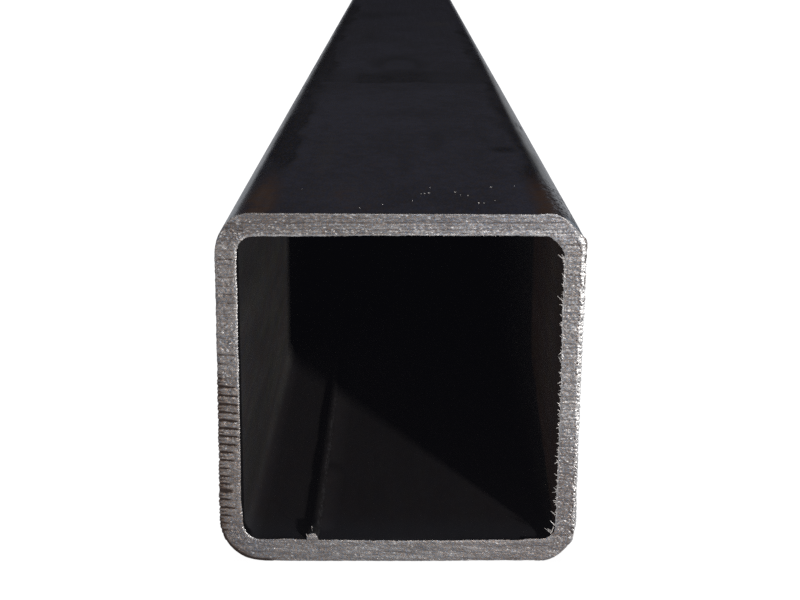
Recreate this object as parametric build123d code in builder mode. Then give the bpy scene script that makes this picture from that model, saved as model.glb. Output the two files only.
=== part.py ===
from build123d import *
import os

# Square hollow section, cold formed from steel strip and welded along one seam,
# sawn square at both ends.  One piece of stock, so one solid.
#
# Frame: millimetres, +Z up.  The tube lies on one of its four flats, its length
# along Y.  The origin is the middle of that flat's footprint at floor level.

# driving dimensions
SECTION = 50.0            # outside width and height
WALL = 3.0                # wall thickness
LENGTH = 1000.0           # stock length
OUTER_RADIUS = 6.0        # outside corner, twice the wall
INNER_RADIUS = 2.5        # inside corner, tighter than a concentric one

# the weld seam left inside the tube: a low rounded ridge on the bottom wall
BEAD_X = -12.2            # middle of the ridge
BEAD_WIDTH = 1.7          # at the wall
BEAD_HEIGHT = 1.15        # above the wall
BEAD_ROOT = 0.4           # how far the ridge reaches down into the wall

BORE = SECTION - 2 * WALL
MID_Z = SECTION / 2

# The section is drawn in the XZ plane at the tube's middle.  In this plane the
# sketch's own x runs along +X and its y along +Z.
section_plane = Plane(origin=(0, 0, MID_Z), x_dir=(1, 0, 0), z_dir=(0, -1, 0))

with BuildPart() as square_tube:
    # the outside and the bore, walls equal all round
    with BuildSketch(section_plane) as section:
        RectangleRounded(SECTION, SECTION, OUTER_RADIUS)
        RectangleRounded(BORE, BORE, INNER_RADIUS, mode=Mode.SUBTRACT)
        # the ridge: straight flanks leaning in, closed by a round crown, its
        # foot sunk in the wall so that the two join as one profile
        floor_y = WALL - MID_Z
        half = BEAD_WIDTH / 2
        with BuildLine() as ridge:
            foot_left = (BEAD_X - half, floor_y - BEAD_ROOT)
            foot_right = (BEAD_X + half, floor_y - BEAD_ROOT)
            hip_left = (BEAD_X - half * 0.92, floor_y + BEAD_HEIGHT * 0.42)
            hip_right = (BEAD_X + half * 0.92, floor_y + BEAD_HEIGHT * 0.42)
            crown = (BEAD_X, floor_y + BEAD_HEIGHT)
            Line(foot_left, foot_right)
            Line(foot_right, hip_right)
            ThreePointArc(hip_right, crown, hip_left)
            Line(hip_left, foot_left)
        make_face()
    # half the length each way from the middle
    extrude(amount=LENGTH / 2, both=True)

square_tube.part.label = "square_tube"

os.makedirs("parts", exist_ok=True)
export_step(square_tube.part, "parts/square_tube.step")

box = square_tube.part.bounding_box()
print("size", box.size)
print("lowest", box.min, "highest", box.max)
print("volume cm3", round(square_tube.part.volume / 1000, 2))
print("solids", len(square_tube.part.solids()))
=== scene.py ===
"""Looks of a sawn length of 50 x 50 x 3 mm square steel tube, 1 m long.

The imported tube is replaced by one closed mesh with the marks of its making:
the saw's ridges, grooves and burrs on the cut ends, the weld's ridge in the
bore, and the faint hollows of its rolled sides.  Lengths in this file are in
millimetres until a mesh is written, and Y runs along the tube, with the end
that the camera sees at -500.
"""
import math
import bpy
import numpy as np
from mathutils import Matrix, Vector


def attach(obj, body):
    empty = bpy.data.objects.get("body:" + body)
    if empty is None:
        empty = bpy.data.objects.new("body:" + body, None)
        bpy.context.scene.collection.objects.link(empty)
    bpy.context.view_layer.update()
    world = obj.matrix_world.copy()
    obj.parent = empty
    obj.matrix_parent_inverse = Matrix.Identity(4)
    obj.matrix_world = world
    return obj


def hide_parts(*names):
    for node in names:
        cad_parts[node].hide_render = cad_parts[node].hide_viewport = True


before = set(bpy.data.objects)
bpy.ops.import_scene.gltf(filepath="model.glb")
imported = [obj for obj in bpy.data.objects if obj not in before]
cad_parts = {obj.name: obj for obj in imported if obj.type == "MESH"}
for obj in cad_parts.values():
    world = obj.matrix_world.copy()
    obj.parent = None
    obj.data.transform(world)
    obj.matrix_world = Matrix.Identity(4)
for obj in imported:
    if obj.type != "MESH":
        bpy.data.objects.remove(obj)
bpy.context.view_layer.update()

# ----------------------------------------------------------------------------
# sizes, mm
# ----------------------------------------------------------------------------
HALF = 25.0
HEIGHT = 50.0
HALF_LENGTH = 500.0
OUTER = {"bl": 5.75, "br": 5.7, "tr": 5.05, "tl": 5.45}
INNER = {"bl": 2.6, "br": 2.0, "tr": 2.4, "tl": 2.2}
IN_LEFT, IN_RIGHT, IN_BOTTOM, IN_TOP = -22.0, 22.08, 3.05, 46.93
BEAD_FROM, BEAD_TO = -13.05, -11.38

rng = np.random.default_rng(7341)


# ----------------------------------------------------------------------------
# noise
# ----------------------------------------------------------------------------
def lattice(ix, iy, seed):
    h = (ix * 374761393 + iy * 668265263 + seed * 144269501) & 0x7FFFFFFF
    h = ((h ^ (h >> 13)) * 1274126177) & 0x7FFFFFFF
    h = h ^ (h >> 15)
    h = (h * 668265263) & 0x7FFFFFFF
    return ((h >> 8) & 0xFFFF) / 32767.5 - 1.0


def vnoise(x, y, seed):
    """Value noise, -1 to 1, one cell per unit."""
    x, y = np.broadcast_arrays(np.asarray(x, float), np.asarray(y, float))
    x0, y0 = np.floor(x).astype(np.int64), np.floor(y).astype(np.int64)
    fx, fy = x - x0, y - y0
    fx = fx * fx * (3 - 2 * fx)
    fy = fy * fy * (3 - 2 * fy)
    a = lattice(x0, y0, seed) * (1 - fx) + lattice(x0 + 1, y0, seed) * fx
    b = lattice(x0, y0 + 1, seed) * (1 - fx) + lattice(x0 + 1, y0 + 1, seed) * fx
    return a * (1 - fy) + b * fy


def smooth(a, b, x):
    t = np.clip((x - a) / (b - a), 0, 1)
    return t * t * (3 - 2 * t)


def bump(x, centre, width):
    return np.exp(-(((x - centre) / width) ** 2))


# ----------------------------------------------------------------------------
# the section, walked anticlockwise as seen from the front
# ----------------------------------------------------------------------------
def arc(cx, cz, r, a0, n):
    a = np.radians(a0 + 90.0 * np.arange(n) / n)
    return np.stack([cx + r * np.cos(a), cz + r * np.sin(a)], 1)


def line(p, q, n):
    t = np.arange(n)[:, None] / n
    return np.array(p) * (1 - t) + np.array(q) * t


def bead_rise(x, scale=1.0):
    """Height of the weld's ridge over the bore's floor."""
    u = np.abs((x - 0.5 * (BEAD_FROM + BEAD_TO)) / (0.5 * (BEAD_TO - BEAD_FROM)))
    return 1.02 * scale * np.clip(1 - u ** 3.0, 0, 1) ** 0.60


SEGMENTS = [  # name, fine steps, the step of the middling and of the coarse rings
    ("bottom_a", 24, 3, 8),
    ("bead", 48, 2, 4),
    ("bottom_b", 154, 2, 14),
    ("br", 56, 4, 4),
    ("right", 384, 3, 24),
    ("tr", 56, 4, 4),
    ("top", 216, 3, 12),
    ("tl", 56, 4, 4),
    ("left", 384, 3, 24),
    ("bl", 56, 4, 4),
]

H, Z = HALF, HEIGHT
out_parts = [
    line((-H + OUTER["bl"], 0), (BEAD_FROM, 0), 24),
    line((BEAD_FROM, 0), (BEAD_TO, 0), 48),
    line((BEAD_TO, 0), (H - OUTER["br"], 0), 154),
    arc(H - OUTER["br"], OUTER["br"], OUTER["br"], -90, 56),
    line((H, OUTER["br"]), (H, Z - OUTER["tr"]), 384),
    arc(H - OUTER["tr"], Z - OUTER["tr"], OUTER["tr"], 0, 56),
    line((H - OUTER["tr"], Z), (-H + OUTER["tl"], Z), 216),
    arc(-H + OUTER["tl"], Z - OUTER["tl"], OUTER["tl"], 90, 56),
    line((-H, Z - OUTER["tl"]), (-H, OUTER["bl"]), 384),
    arc(-H + OUTER["bl"], OUTER["bl"], OUTER["bl"], 180, 56),
]
in_parts = [
    line((IN_LEFT + INNER["bl"], IN_BOTTOM), (BEAD_FROM, IN_BOTTOM), 24),
    line((BEAD_FROM, IN_BOTTOM), (BEAD_TO, IN_BOTTOM), 48),
    line((BEAD_TO, IN_BOTTOM), (IN_RIGHT - INNER["br"], IN_BOTTOM), 154),
    arc(IN_RIGHT - INNER["br"], IN_BOTTOM + INNER["br"], INNER["br"], -90, 56),
    line((IN_RIGHT, IN_BOTTOM + INNER["br"]), (IN_RIGHT, IN_TOP - INNER["tr"]), 384),
    arc(IN_RIGHT - INNER["tr"], IN_TOP - INNER["tr"], INNER["tr"], 0, 56),
    line((IN_RIGHT - INNER["tr"], IN_TOP), (IN_LEFT + INNER["tl"], IN_TOP), 216),
    arc(IN_LEFT + INNER["tl"], IN_TOP - INNER["tl"], INNER["tl"], 90, 56),
    line((IN_LEFT, IN_TOP - INNER["tl"]), (IN_LEFT, IN_BOTTOM + INNER["bl"]), 384),
    arc(IN_LEFT + INNER["bl"], IN_BOTTOM + INNER["bl"], INNER["bl"], 180, 56),
]
outer0 = np.concatenate(out_parts)
inner0 = np.concatenate(in_parts)
N = len(outer0)
seg_id = np.concatenate([np.full(s[1], k) for k, s in enumerate(SEGMENTS)])
seg_t = np.concatenate([np.arange(s[1]) / s[1] for s in SEGMENTS])
inner0[:, 1] += np.where(seg_id == 1, bead_rise(inner0[:, 0]), 0)


def normals_of(p):
    """Outward unit normals of a closed anticlockwise loop."""
    d = np.roll(p, -1, 0) - np.roll(p, 1, 0)
    n = np.stack([d[:, 1], -d[:, 0]], 1)
    return n / np.linalg.norm(n, axis=1)[:, None]


out_n = normals_of(outer0)
in_n = -normals_of(inner0)  # points into the bore


def subset(which):
    """Indices into the fine loop of the middling (1) or coarse (2) ring."""
    keep, start = [], 0
    for name, n, mid, coarse in SEGMENTS:
        keep.append(start + np.arange(0, n, (mid, coarse)[which]))
        start += n
    return np.concatenate(keep)


MID, COARSE = subset(0), subset(1)


def along(table, blend=0.12):
    """A value for every fine point from a table by segment, eased between neighbours."""
    v = np.array([table[SEGMENTS[k][0]] if SEGMENTS[k][0] in table else table["bottom"] for k in range(len(SEGMENTS))])
    ids = seg_id
    here = v[ids]
    after = v[(ids + 1) % len(v)]
    before = v[(ids - 1) % len(v)]
    w = 0.5 * smooth(1 - blend, 1, seg_t)
    w2 = 0.5 * smooth(blend, 0, seg_t)
    return here * (1 - w - w2) + after * w + before * w2


# ----------------------------------------------------------------------------
# the saw's work on a cut face
# ----------------------------------------------------------------------------
# the deep tooth marks on the left wall: height where they leave the outer edge,
# length, depth, half width and how brown they are
GROOVES = [
    (37.6, 1.0, 0.05, 0.10, 0.35), (32.7, 1.0, 0.05, 0.10, 0.35), (30.3, 1.2, 0.09, 0.13, 0.6),
    (29.0, 1.3, 0.08, 0.13, 0.6), (26.88, 0.7, 0.07, 0.18, 0.75), (25.78, 2.25, 0.15, 0.17, 0.95),
    (24.49, 2.7, 0.16, 0.15, 0.97), (23.23, 2.75, 0.17, 0.15, 1.0), (22.07, 2.6, 0.17, 0.14, 1.0),
    (20.88, 2.6, 0.17, 0.15, 1.0), (19.74, 2.75, 0.17, 0.16, 1.0), (18.57, 2.65, 0.16, 0.14, 1.0),
    (17.37, 2.5, 0.16, 0.13, 1.0), (16.2, 2.0, 0.15, 0.14, 1.0), (15.03, 1.8, 0.13, 0.13, 0.95),
    (13.83, 1.3, 0.12, 0.12, 0.9), (12.66, 1.3, 0.13, 0.13, 0.9), (11.52, 1.35, 0.12, 0.14, 0.95),
    (10.50, 1.6, 0.11, 0.36, 0.85), (9.2, 1.25, 0.12, 0.15, 0.95), (7.98, 2.1, 0.13, 0.14, 1.0),
    (6.80, 1.3, 0.12, 0.14, 0.95), (5.70, 1.1, 0.11, 0.13, 0.85), (4.67, 1.0, 0.10, 0.12, 0.75),
    (3.98, 0.7, 0.08, 0.10, 0.55),
]
SHORT = [(g[0] + 0.56, 0.35 + 0.5 * ((k * 37) % 10) / 10, 0.07, 0.09, 0.75) for k, g in enumerate(GROOVES) if 3 < k]
# one stroke of the saw every 1.25 mm: the height of each faint line on the left wall
# and on the right one, with how strong it is
LEFT_LINES = [
    (46.25, 15), (45.7, 7), (44.88, 15), (43.64, 21), (42.4, 10), (41.15, 19), (39.9, 13), (38.78, 15), (37.53, 18), (35.98, 11),
    (34.86, 8), (33.73, 9), (32.6, 9), (31.46, 12), (30.18, 17), (29.04, 12), (27.9, 9),
]
RIGHT_LINES = [
    (46.73, 9), (45.77, 24), (44.26, 18), (43.16, 15), (42.47, 15), (41.64, 22), (40.25, 16), (38.86, 18), (37.46, 24), (36.2, 16),
    (34.79, 13), (33.38, 10), (31.96, 14), (30.54, 23), (29.11, 18), (27.83, 20), (26.39, 16), (25.09, 19), (23.79, 16), (22.49, 20),
    (21.04, 17), (19.72, 14), (18.41, 14), (17.09, 23), (15.76, 16), (14.43, 13), (13.1, 15), (11.61, 7), (10.42, 16), (9.07, 15),
    (7.72, 18), (6.36, 15), (5.01, 22), (3.79, 18),
]
LINES = [  # x from, x to, height at x from, rise per mm, depth, half width, brown
    (-23.4, -21.2, 48.53, -.012, 0.05, 0.085, 0.80), (-24.3, -20.2, 48.03, -.02, 0.045, 0.080, 0.78),
    (-24.7, -20.8, 47.56, .0, 0.045, 0.085, 0.74), (-21.6, -17.5, 49.02, -.02, 0.03, 0.09, 0.50),
    (-23.7, -21.0, 48.28, -.02, 0.02, 0.07, 0.40), (-24.4, -21.6, 47.80, .0, 0.02, 0.07, 0.40),
]
for z0, much in LEFT_LINES:
    LINES.append((-24.95, -22.3 if much > 11 else -22.9, z0 + 0.06, -.03, 0.0045 * much, 0.11, 0.040 * much))
for z0, much in RIGHT_LINES:
    LINES.append((21.9, 24.05, z0 + 0.02, -.01, 0.0032 * much, 0.095, (0.020 if z0 > 38 else 0.014) * much))
TOP_LINES = [  # height at the middle, depth, half width; each line is also painted dark brown, a painted shade
    (49.38, 0.028, 0.11), (49.10, 0.012, 0.07), (48.76, 0.042, 0.14), (48.31, 0.024, 0.09), (47.78, 0.040, 0.11), (47.28, 0.030, 0.08),
]
TOP_RIDGES = [  # and the painted highlights on the rows between them: height, how bright, half width
    (49.60, 0.16, 0.08), (49.23, 0.12, 0.08), (48.55, 0.22, 0.10), (48.08, 0.24, 0.12), (47.53, 0.40, 0.12), (47.09, 0.62, 0.10),
]
# where the teeth left the right wall's bright strip: x, height and size of each dark spot,
# first those in the strip's outer half, then those on its inner border
RIGHT_SPOTS = [
    (24.82, 46.25, 1.0), (24.84, 45.60, .5), (24.57, 45.78, .7), (24.86, 45.1, .4), (24.83, 43.44, .8), (24.68, 42.48, .5),
    (24.83, 42.06, .7), (24.79, 39.28, .7), (24.83, 38.03, 1.1), (24.59, 37.47, 1.0), (24.79, 35.50, .7), (24.67, 35.08, .4),
    (24.70, 34.60, .4), (24.72, 34.09, .7), (24.75, 33.24, 1.0), (24.75, 32.68, .4), (24.50, 32.11, .7), (24.78, 31.83, .8),
    (24.66, 31.35, .4), (24.69, 30.55, 1.0), (24.71, 29.98, .6), (24.73, 29.14, 1.0), (24.62, 28.50, .6), (24.76, 27.85, 1.0),
    (24.66, 27.35, .4), (24.67, 26.95, .4), (24.69, 26.54, .9), (24.57, 25.92, 1.0), (24.60, 25.10, 1.2), (24.62, 24.38, .9),
    (24.64, 23.80, 1.0), (24.66, 23.20, .5), (24.67, 22.79, .4), (24.69, 22.35, .8), (24.46, 21.04, 1.0), (24.75, 20.46, .6),
    (24.70, 19.55, .6), (24.41, 18.26, 1.0), (24.66, 17.7, .5), (24.59, 16.94, .8), (24.61, 16.35, .8), (24.67, 14.73, .5),
    (24.54, 14.29, .8), (24.56, 13.80, .6), (24.71, 13.40, .5), (24.59, 12.95, .9), (24.60, 12.48, .9), (24.49, 11.61, .8),
    (24.53, 10.42, .8), (24.60, 9.6, .5), (24.32, 8.47, .7), (24.74, 8.30, .5), (24.34, 7.72, .9), (24.77, 7.57, .6),
    (24.36, 6.97, .7), (24.67, 6.22, .7), (24.54, 5.76, 1.0), (24.57, 5.01, 1.0), (24.59, 4.40, .7),
    (24.33, 44.82, .7), (24.27, 42.89, 1.0), (24.31, 41.64, .9), (24.33, 40.95, .8), (24.49, 40.26, 1.0), (24.27, 38.86, .9),
    (24.29, 38.16, .6), (24.47, 36.91, .6), (24.36, 36.06, 1.0), (24.25, 35.36, .8), (24.27, 34.65, 1.0), (24.18, 33.52, .5),
    (24.07, 32.53, .6), (24.14, 30.55, .9), (24.32, 29.26, .9), (24.07, 28.40, .6), (24.24, 27.69, 1.0), (24.28, 26.40, .6),
    (24.02, 25.96, .5), (24.03, 25.53, .4), (24.13, 22.64, .5), (24.30, 21.62, .6), (23.91, 20.75, .4), (24.35, 20.17, .6),
    (24.17, 17.09, .8), (24.22, 15.62, .8), (24.24, 15.02, .7), (24.12, 14.43, .6), (24.33, 12.21, .8), (24.12, 10.27, .6),
    (24.16, 9.07, .7), (24.07, 7.27, .6), (24.10, 6.52, .6), (24.11, 6.06, .5), (24.16, 4.70, 1.1),
]
# single strokes on the cut, dark brown marks and painted highlights: from x and height to x and height, half width,
# brown, how bright the painted highlight is
STROKES = [
    (23.61, 46.42, 23.99, 45.85, 0.080, .60, 0), (23.99, 45.85, 24.26, 45.25, 0.085, .70, 0), (24.26, 45.25, 24.29, 44.10, 0.075, .60, 0),
    (24.29, 44.10, 24.24, 43.00, 0.060, .45, 0), (24.91, 44.42, 24.93, 43.62, 0.075, .95, 0), (24.87, 41.45, 24.90, 40.35, 0.055, .75, 0),
    (24.80, 40.12, 24.78, 39.90, 0.070, .75, 0), (24.92, 36.70, 24.93, 35.9, 0.05, .35, 0),
    (21.92, 49.50, 22.55, 49.00, 0.085, 0, 1.0), (22.83, 48.68, 23.22, 48.08, 0.085, 0, .9), (22.60, 48.75, 22.95, 48.25, 0.06, .35, 0),
    (23.55, 47.75, 24.05, 47.05, 0.16, 0, .9), (24.05, 47.0, 24.62, 46.05, 0.20, 0, .9), (23.75, 47.05, 24.25, 46.3, 0.13, 0, .7),
    (-20.6, 46.9, -20.0, 46.9, 0.05, 0, .5), (-21.9, 48.62, -21.7, 48.60, 0.11, 0, 1.0), (-21.45, 48.55, -21.35, 48.52, 0.09, 0, .7),
    (-19.65, 47.18, -19.45, 47.12, 0.10, 0, .9), (-19.1, 47.12, -19.0, 47.08, 0.09, 0, .7),
]
RIGHT_NOTCHES = np.array([q[1] for q in RIGHT_SPOTS if q[0] > 24.4])
# the little nuggets the teeth rolled up near its foot: x, height, radius
NUGGETS = [
    (24.42, 7.42, 0.24), (24.44, 6.72, 0.23), (24.43, 6.10, 0.21), (24.48, 5.50, 0.18), (24.47, 4.78, 0.22), (24.05, 3.57, 0.18),
    (24.08, 7.08, 0.15), (23.96, 6.29, 0.12), (23.99, 5.50, 0.14), (24.02, 4.48, 0.14), (24.53, 8.25, 0.26), (24.13, 7.72, 0.12),
    (24.45, 9.2, 0.22), (24.5, 10.0, 0.20), (24.38, 10.75, 0.2), (24.55, 11.55, 0.22), (24.4, 12.3, 0.18), (24.6, 13.1, 0.22),
    (24.55, 14.0, 0.24), (24.05, 12.45, 0.13), (23.98, 10.3, 0.12), (24.52, 14.8, 0.2), (24.6, 15.7, 0.24), (23.9, 16.7, 0.16),
    (24.5, 17.3, 0.2), (24.62, 18.0, 0.22), (23.75, 18.4, 0.13), (24.1, 9.0, 0.12), (23.1, 1.45, 0.13), (22.3, 1.05, 0.10),
]


def nugget_field(x, z):
    """Height of the nuggets on the right wall's strip, 0 to 1 on each."""
    h = np.zeros_like(x)
    for cx, cz, r in NUGGETS:
        r = r * 1.18
        cx = cx + 0.17 * (cx > 24.3)
        q = ((x - cx) / r) ** 2 + ((z - cz + 0.35 * (x - cx)) / (r * 0.85)) ** 2
        h = np.maximum(h, 0.42 * r * np.clip(1 - q, 0, 1))
    return h


def groove_field(x, z):
    """How deep and how brown the saw's deep marks are at a point of the front face."""
    depth, brown = np.zeros_like(x), np.zeros_like(x)
    for k, (z0, length, d, w, b) in enumerate(GROOVES + SHORT):
        s = x + HALF
        mid = z0 - 0.09 * s + 0.05 * vnoise(s * 1.4, 0.5 + k, 71)
        width = w * (1 + 0.35 * vnoise(s * 2.6, 7.5 + k, 72)) * (1.28 - 0.62 * np.clip(s / length, 0, 1))
        fade = smooth(length + 0.45, length - 0.35, s + 0.12 * vnoise(z * 5.0, k, 73))
        side = 1 + 0.25 * vnoise(s * 3.1, 3.5 + k, 74)
        g = np.exp(-(np.abs((z - mid) / width) ** 3.6)) * fade * (s < 6)
        depth = np.maximum(depth, d * side * g)
        brown = np.maximum(brown, b * g)
        if z0 < 27.5 and k < len(GROOVES):
            soak = np.exp(-(((z - mid) / 0.42) ** 2)) * np.exp(-((s / (0.75 + 0.5 * smooth(22.5, 25.5, z))) ** 2))
            brown = np.maximum(brown, (0.44 + 0.20 * smooth(23, 25.5, z) * smooth(26.5, 26.0, z)) * soak * (0.70 + 0.6 * vnoise(x * 5.0, z * 4.0, 78)))
    for k, (x0, x1, z0, rise, d, w, b) in enumerate(LINES):
        mid = z0 + rise * (x - x0) + (0.06 + 0.04 * (x > 20)) * vnoise(x * 0.9, 0.5 + k, 75)
        ends = smooth(x0 - 0.2, x0 + 0.5, x) * smooth(x1 + 0.3, x1 - 0.6, x)
        g = np.exp(-(((z - mid) / w) ** 2)) * ends * (0.75 + 0.4 * vnoise(x * 1.8, k, 76))
        g = np.clip(g, 0, 1)
        depth = np.maximum(depth, d * g)
        brown = np.maximum(brown, b * g)
    # the top wall's lines: shallow grooves, painted dark along them as shade
    over = smooth(46.6, 47.3, z) * smooth(24.0, 21.0, np.abs(x))
    for k, (z0, d, w) in enumerate(TOP_LINES):
        mid = z0 + 0.0043 * x + 0.05 * vnoise(x / 5.0, 0.5 + k, 76)
        g = np.exp(-(((z - mid) / w) ** 2)) * over * np.clip(0.85 + 0.45 * vnoise(x / 2.8, k, 77), 0, 1)
        depth = np.maximum(depth, d * g)
        brown = np.maximum(brown, (12.5 - 1.5 * smooth(-20, 12, x)) * d * g)
    return depth, brown


def ridge_highlight(x, z):
    """Painted highlights on the rows of the top wall."""
    s = np.zeros_like(x)
    over = smooth(46.8, 47.1, z) * smooth(24.0, 21.0, np.abs(x)) * (0.65 + 0.45 * smooth(-20, 10, x))
    for k, (z0, much, w) in enumerate(TOP_RIDGES):
        mid = z0 + 0.0043 * x + 0.04 * vnoise(x / 5.0, 0.5 + k, 176)
        g = np.exp(-(((z - mid) / w) ** 2)) * over * np.clip(0.6 + 0.9 * vnoise(x / 0.8, k, 177) + 0.3 * vnoise(x / 3.3, k, 178), 0, 1.3)
        s = np.maximum(s, much * g)
    return s


def saw_relief(x, z, seed, front=True):
    """Fine relief of a sawn face, mm, positive where it stands proud."""
    if front:
        q = z + 0.035 * x + 0.10 * vnoise(x / 7.0, z / 4.0, seed + 1)
        # the bottom wall's lines lean more
        q = q + smooth(6.0, 2.0, z) * 0.05 * x
    else:
        q = z * 0.94 + 0.34 * x + 0.12 * vnoise(x / 8.0, z / 5.0, seed + 1)
    side = smooth(20.5, 22.6, np.abs(x))  # 1 on the upright walls
    right = smooth(19.0, 23.0, x)
    low = smooth(4.2, 2.6, z) * (1 - side)  # 1 on the bottom wall
    fine = vnoise(x / 2.4, q / 0.19, seed + 2)
    mid = vnoise(x / 5.0, q / 0.50, seed + 3)
    broad = vnoise(x / 9.0, q / 1.15, seed + 4)
    grit = vnoise(x / (0.24 - 0.04 * side), z / 0.17, seed + 5)
    crumb = vnoise(x / (0.46 - 0.14 * side) + 0.3 * grit, z / (0.30 - 0.02 * side), seed + 8)
    pits = vnoise(x / 0.75, z / 0.42, seed + 6)
    amount = 0.7 + 0.5 * vnoise(x / 3.1, z / 2.2, seed + 7)
    gain = 1.50 - 0.28 * smooth(-20, 22, x) + 0.40 * smooth(-20.5, -22.0, x) * smooth(26, 30, z)
    h = fine * (0.016 - 0.008 * side) + mid * (0.020 - 0.006 * side) + broad * 0.014
    h = h + grit * (0.010 + 0.006 * side) * amount
    h = h + crumb * (0.016 + 0.012 * side) * amount
    h = h + 0.016 * np.clip(pits - 0.35, 0, 1) - 0.026 * np.clip(-pits - 0.45, 0, 1)
    if front:
        # the clear fine lines between the deep marks
        h = h + vnoise(x / 2.6, q / 0.15, seed + 9) * 0.010 * smooth(-20.5, -22.5, x)
        h = h * gain * (1 - 0.06 * low)
    return h


# edge by segment: how far the saw turned the edge over (into the face) and how deep
OUT_W = along({"bottom": 0.15, "br": 0.16, "right": 0.05, "tr": 0.07, "top": 0.06, "tl": 0.09, "left": 0.14, "bl": 0.26})
OUT_D = along({"bottom": 0.018, "br": 0.035, "right": 0.012, "tr": 0.02, "top": 0.012, "tl": 0.025, "left": 0.06, "bl": 0.12})
IN_W = along({"bottom": 0.16, "br": 0.12, "right": 0.12, "tr": 0.15, "top": 0.17, "tl": 0.20, "left": 0.25, "bl": 0.22})
IN_D = along({"bottom": 0.045, "br": 0.03, "right": 0.04, "tr": 0.05, "top": 0.06, "tl": 0.07, "left": 0.075, "bl": 0.065})
# how ragged each edge is
OUT_J = along({"bottom": 0.025, "br": 0.045, "right": 0.050, "tr": 0.04, "top": 0.035, "tl": 0.04, "left": 0.045, "bl": 0.018})
IN_J = along({"bottom": 0.045, "br": 0.05, "right": 0.08, "tr": 0.05, "top": 0.045, "tl": 0.04, "left": 0.030, "bl": 0.04})

# how strong the painted highlight is on the torn lip of each edge
IN_LIP = along({"bead": 0.10, "bottom": 0.25, "br": 0.35, "right": 0.65, "tr": 0.55, "top": 0.75, "tl": 0.55, "left": 1.0, "bl": 0.95})
OUT_LIP = along({"bottom": 0.30, "br": 0.60, "right": 0.0, "tr": 0.7, "top": 0.8, "tl": 0.5, "left": 0.25, "bl": 0.0})


# how far the cut's two outlines stand off the drawn section, mm, positive away from the
# wall: by x or height on the flats, by the part of the turn made on the corners
OUT_SHIFT = {
    "bottom": ((-19.2, .11), (-17.5, .085), (-16.7, .12), (-12, .13), (-9, .12), (-7.5, .09), (-4, .08), (-1.5, .09), (0, .05), (3, .045),
               (5, .01), (6.2, .03), (8.5, 0), (9.6, -.015), (10.7, -.07), (14, -.085), (17, -.085), (18.5, -.12), (19.3, -.08)),
    "br": ((0, -.08), (.05, -.01), (.13, .05), (.22, .05), (.33, .03), (.44, 0), (.52, -.06), (.6, -.06), (.67, .06), (.73, .11), (.79, .06),
           (.86, 0), (.92, -.02), (1, .02)),
    "right": ((5.7, .01), (6.4, .06), (7, .10), (8.3, .11), (9.5, .02), (10.5, 0), (17, -.02), (19, -.08), (21, -.03), (24, -.08), (26, -.03), (28.5, -.06), (31, -.05),
              (33.5, -.03), (36, .02), (40, .05), (43.5, .08), (45, .06)),
    "tr": ((0, .06), (.07, .15), (.12, .25), (.165, .29), (.22, .19), (.28, -.02), (.355, -.22), (.47, -.38), (.62, -.27), (.755, -.09),
           (.88, .03), (1, 0)),
    "top": ((-20, -.03), (-17, -.05), (17, -.05), (20, -.02)),
    "tl": ((0, -.03), (.17, .12), (.34, .17), (.48, .13), (.59, 0), (.8, -.03), (.95, -.02), (1, 0)),
    "left": ((5.8, .25), (7.3, .26), (8.4, .24), (9.5, .27), (10.6, .20), (12.8, .175), (15, .12), (16.1, .11), (17.4, .15), (20.5, .10),
             (22.7, .13), (24.9, .085), (27.1, .065), (28.2, .04), (29.5, .085), (32.6, .065), (35, .035), (36, .07), (37.5, .035),
             (40, .02), (44, .03), (44.6, 0)),
    "bl": ((0, .24), (.1, .20), (.22, .15), (.5, .17), (.78, .17), (.9, .145), (1, .11)),
}
IN_SHIFT = {
    "bottom": ((-19.4, .11), (-17, .17), (-15.6, .22), (-14.2, .12), (-13.4, .04), (-10.5, .06), (-8, .02), (-5, .02), (0, -.03), (4, 0),
               (6, .04), (8, .10), (10, .11), (12, .16), (14.5, .18), (16.5, .15), (17.5, .22), (18.3, .36), (19.5, .39), (20.1, .39)),
    "br": ((0, .39), (.2, .40), (.4, .38), (.65, .27), (.85, .16), (1, .10)),
    "right": ((5.1, .10), (9, .07), (11, .06), (13, 0), (20, 0), (23, -.06), (26, -.07), (29, -.03), (32, 0), (44.5, 0)),
    "tr": ((0, 0), (.13, .18), (.28, .26), (.5, .28), (.7, .24), (.83, .08), (1, -.06)),
    "top": ((-20.5, .17), (-18, .15), (-15.5, .13), (-13, .07), (-12, .09), (-9.8, .03), (-7, .035), (-5, -.02), (-3.5, -.055), (-1, -.04),
            (2, -.075), (5.5, -.07), (7.5, -.02), (9.5, -.03), (11, -.09), (12.7, -.125), (15.9, -.07), (17.5, -.09), (19.3, -.06)),
    "tl": ((0, .17), (.22, .15), (.55, .12), (.83, .07), (1, -.02)),
    "left": ((5.65, .02), (6.7, 0), (7.8, -.09), (8.9, -.20), (10, -.21), (11.1, -.17), (12.5, -.14), (15, -.13), (18, -.11), (20, -.105),
             (21.5, -.145), (22.6, -.13), (24.8, -.085), (27.6, -.11), (29.2, -.08), (30.9, -.12), (33.6, -.11), (36, -.085), (39, -.075),
             (41.5, -.13), (43, -.095), (44.3, -.02)),
    "bl": ((0, .02), (.25, .06), (.55, .09), (1, .11)),
}


def outline_shift(table, p, index):
    shift = np.zeros(len(p))
    for k, (name, *_) in enumerate(SEGMENTS):
        key = name if name in table else "bottom"
        here = seg_id[index] == k
        if key in ("bottom", "top"):
            at = p[here, 0]
        elif key in ("left", "right"):
            at = p[here, 1]
        else:
            at = seg_t[index][here]
        shift[here] = np.interp(at, *zip(*table[key]))
    shift[seg_id[index] == 1] *= 0.3 if table is IN_SHIFT else 1.0
    return shift


def arc_length(p):
    d = np.linalg.norm(np.roll(p, -1, 0) - p, axis=1)
    return np.concatenate([[0], np.cumsum(d)[:-1]])


S_OUT, S_IN = arc_length(outer0), arc_length(inner0)


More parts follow.
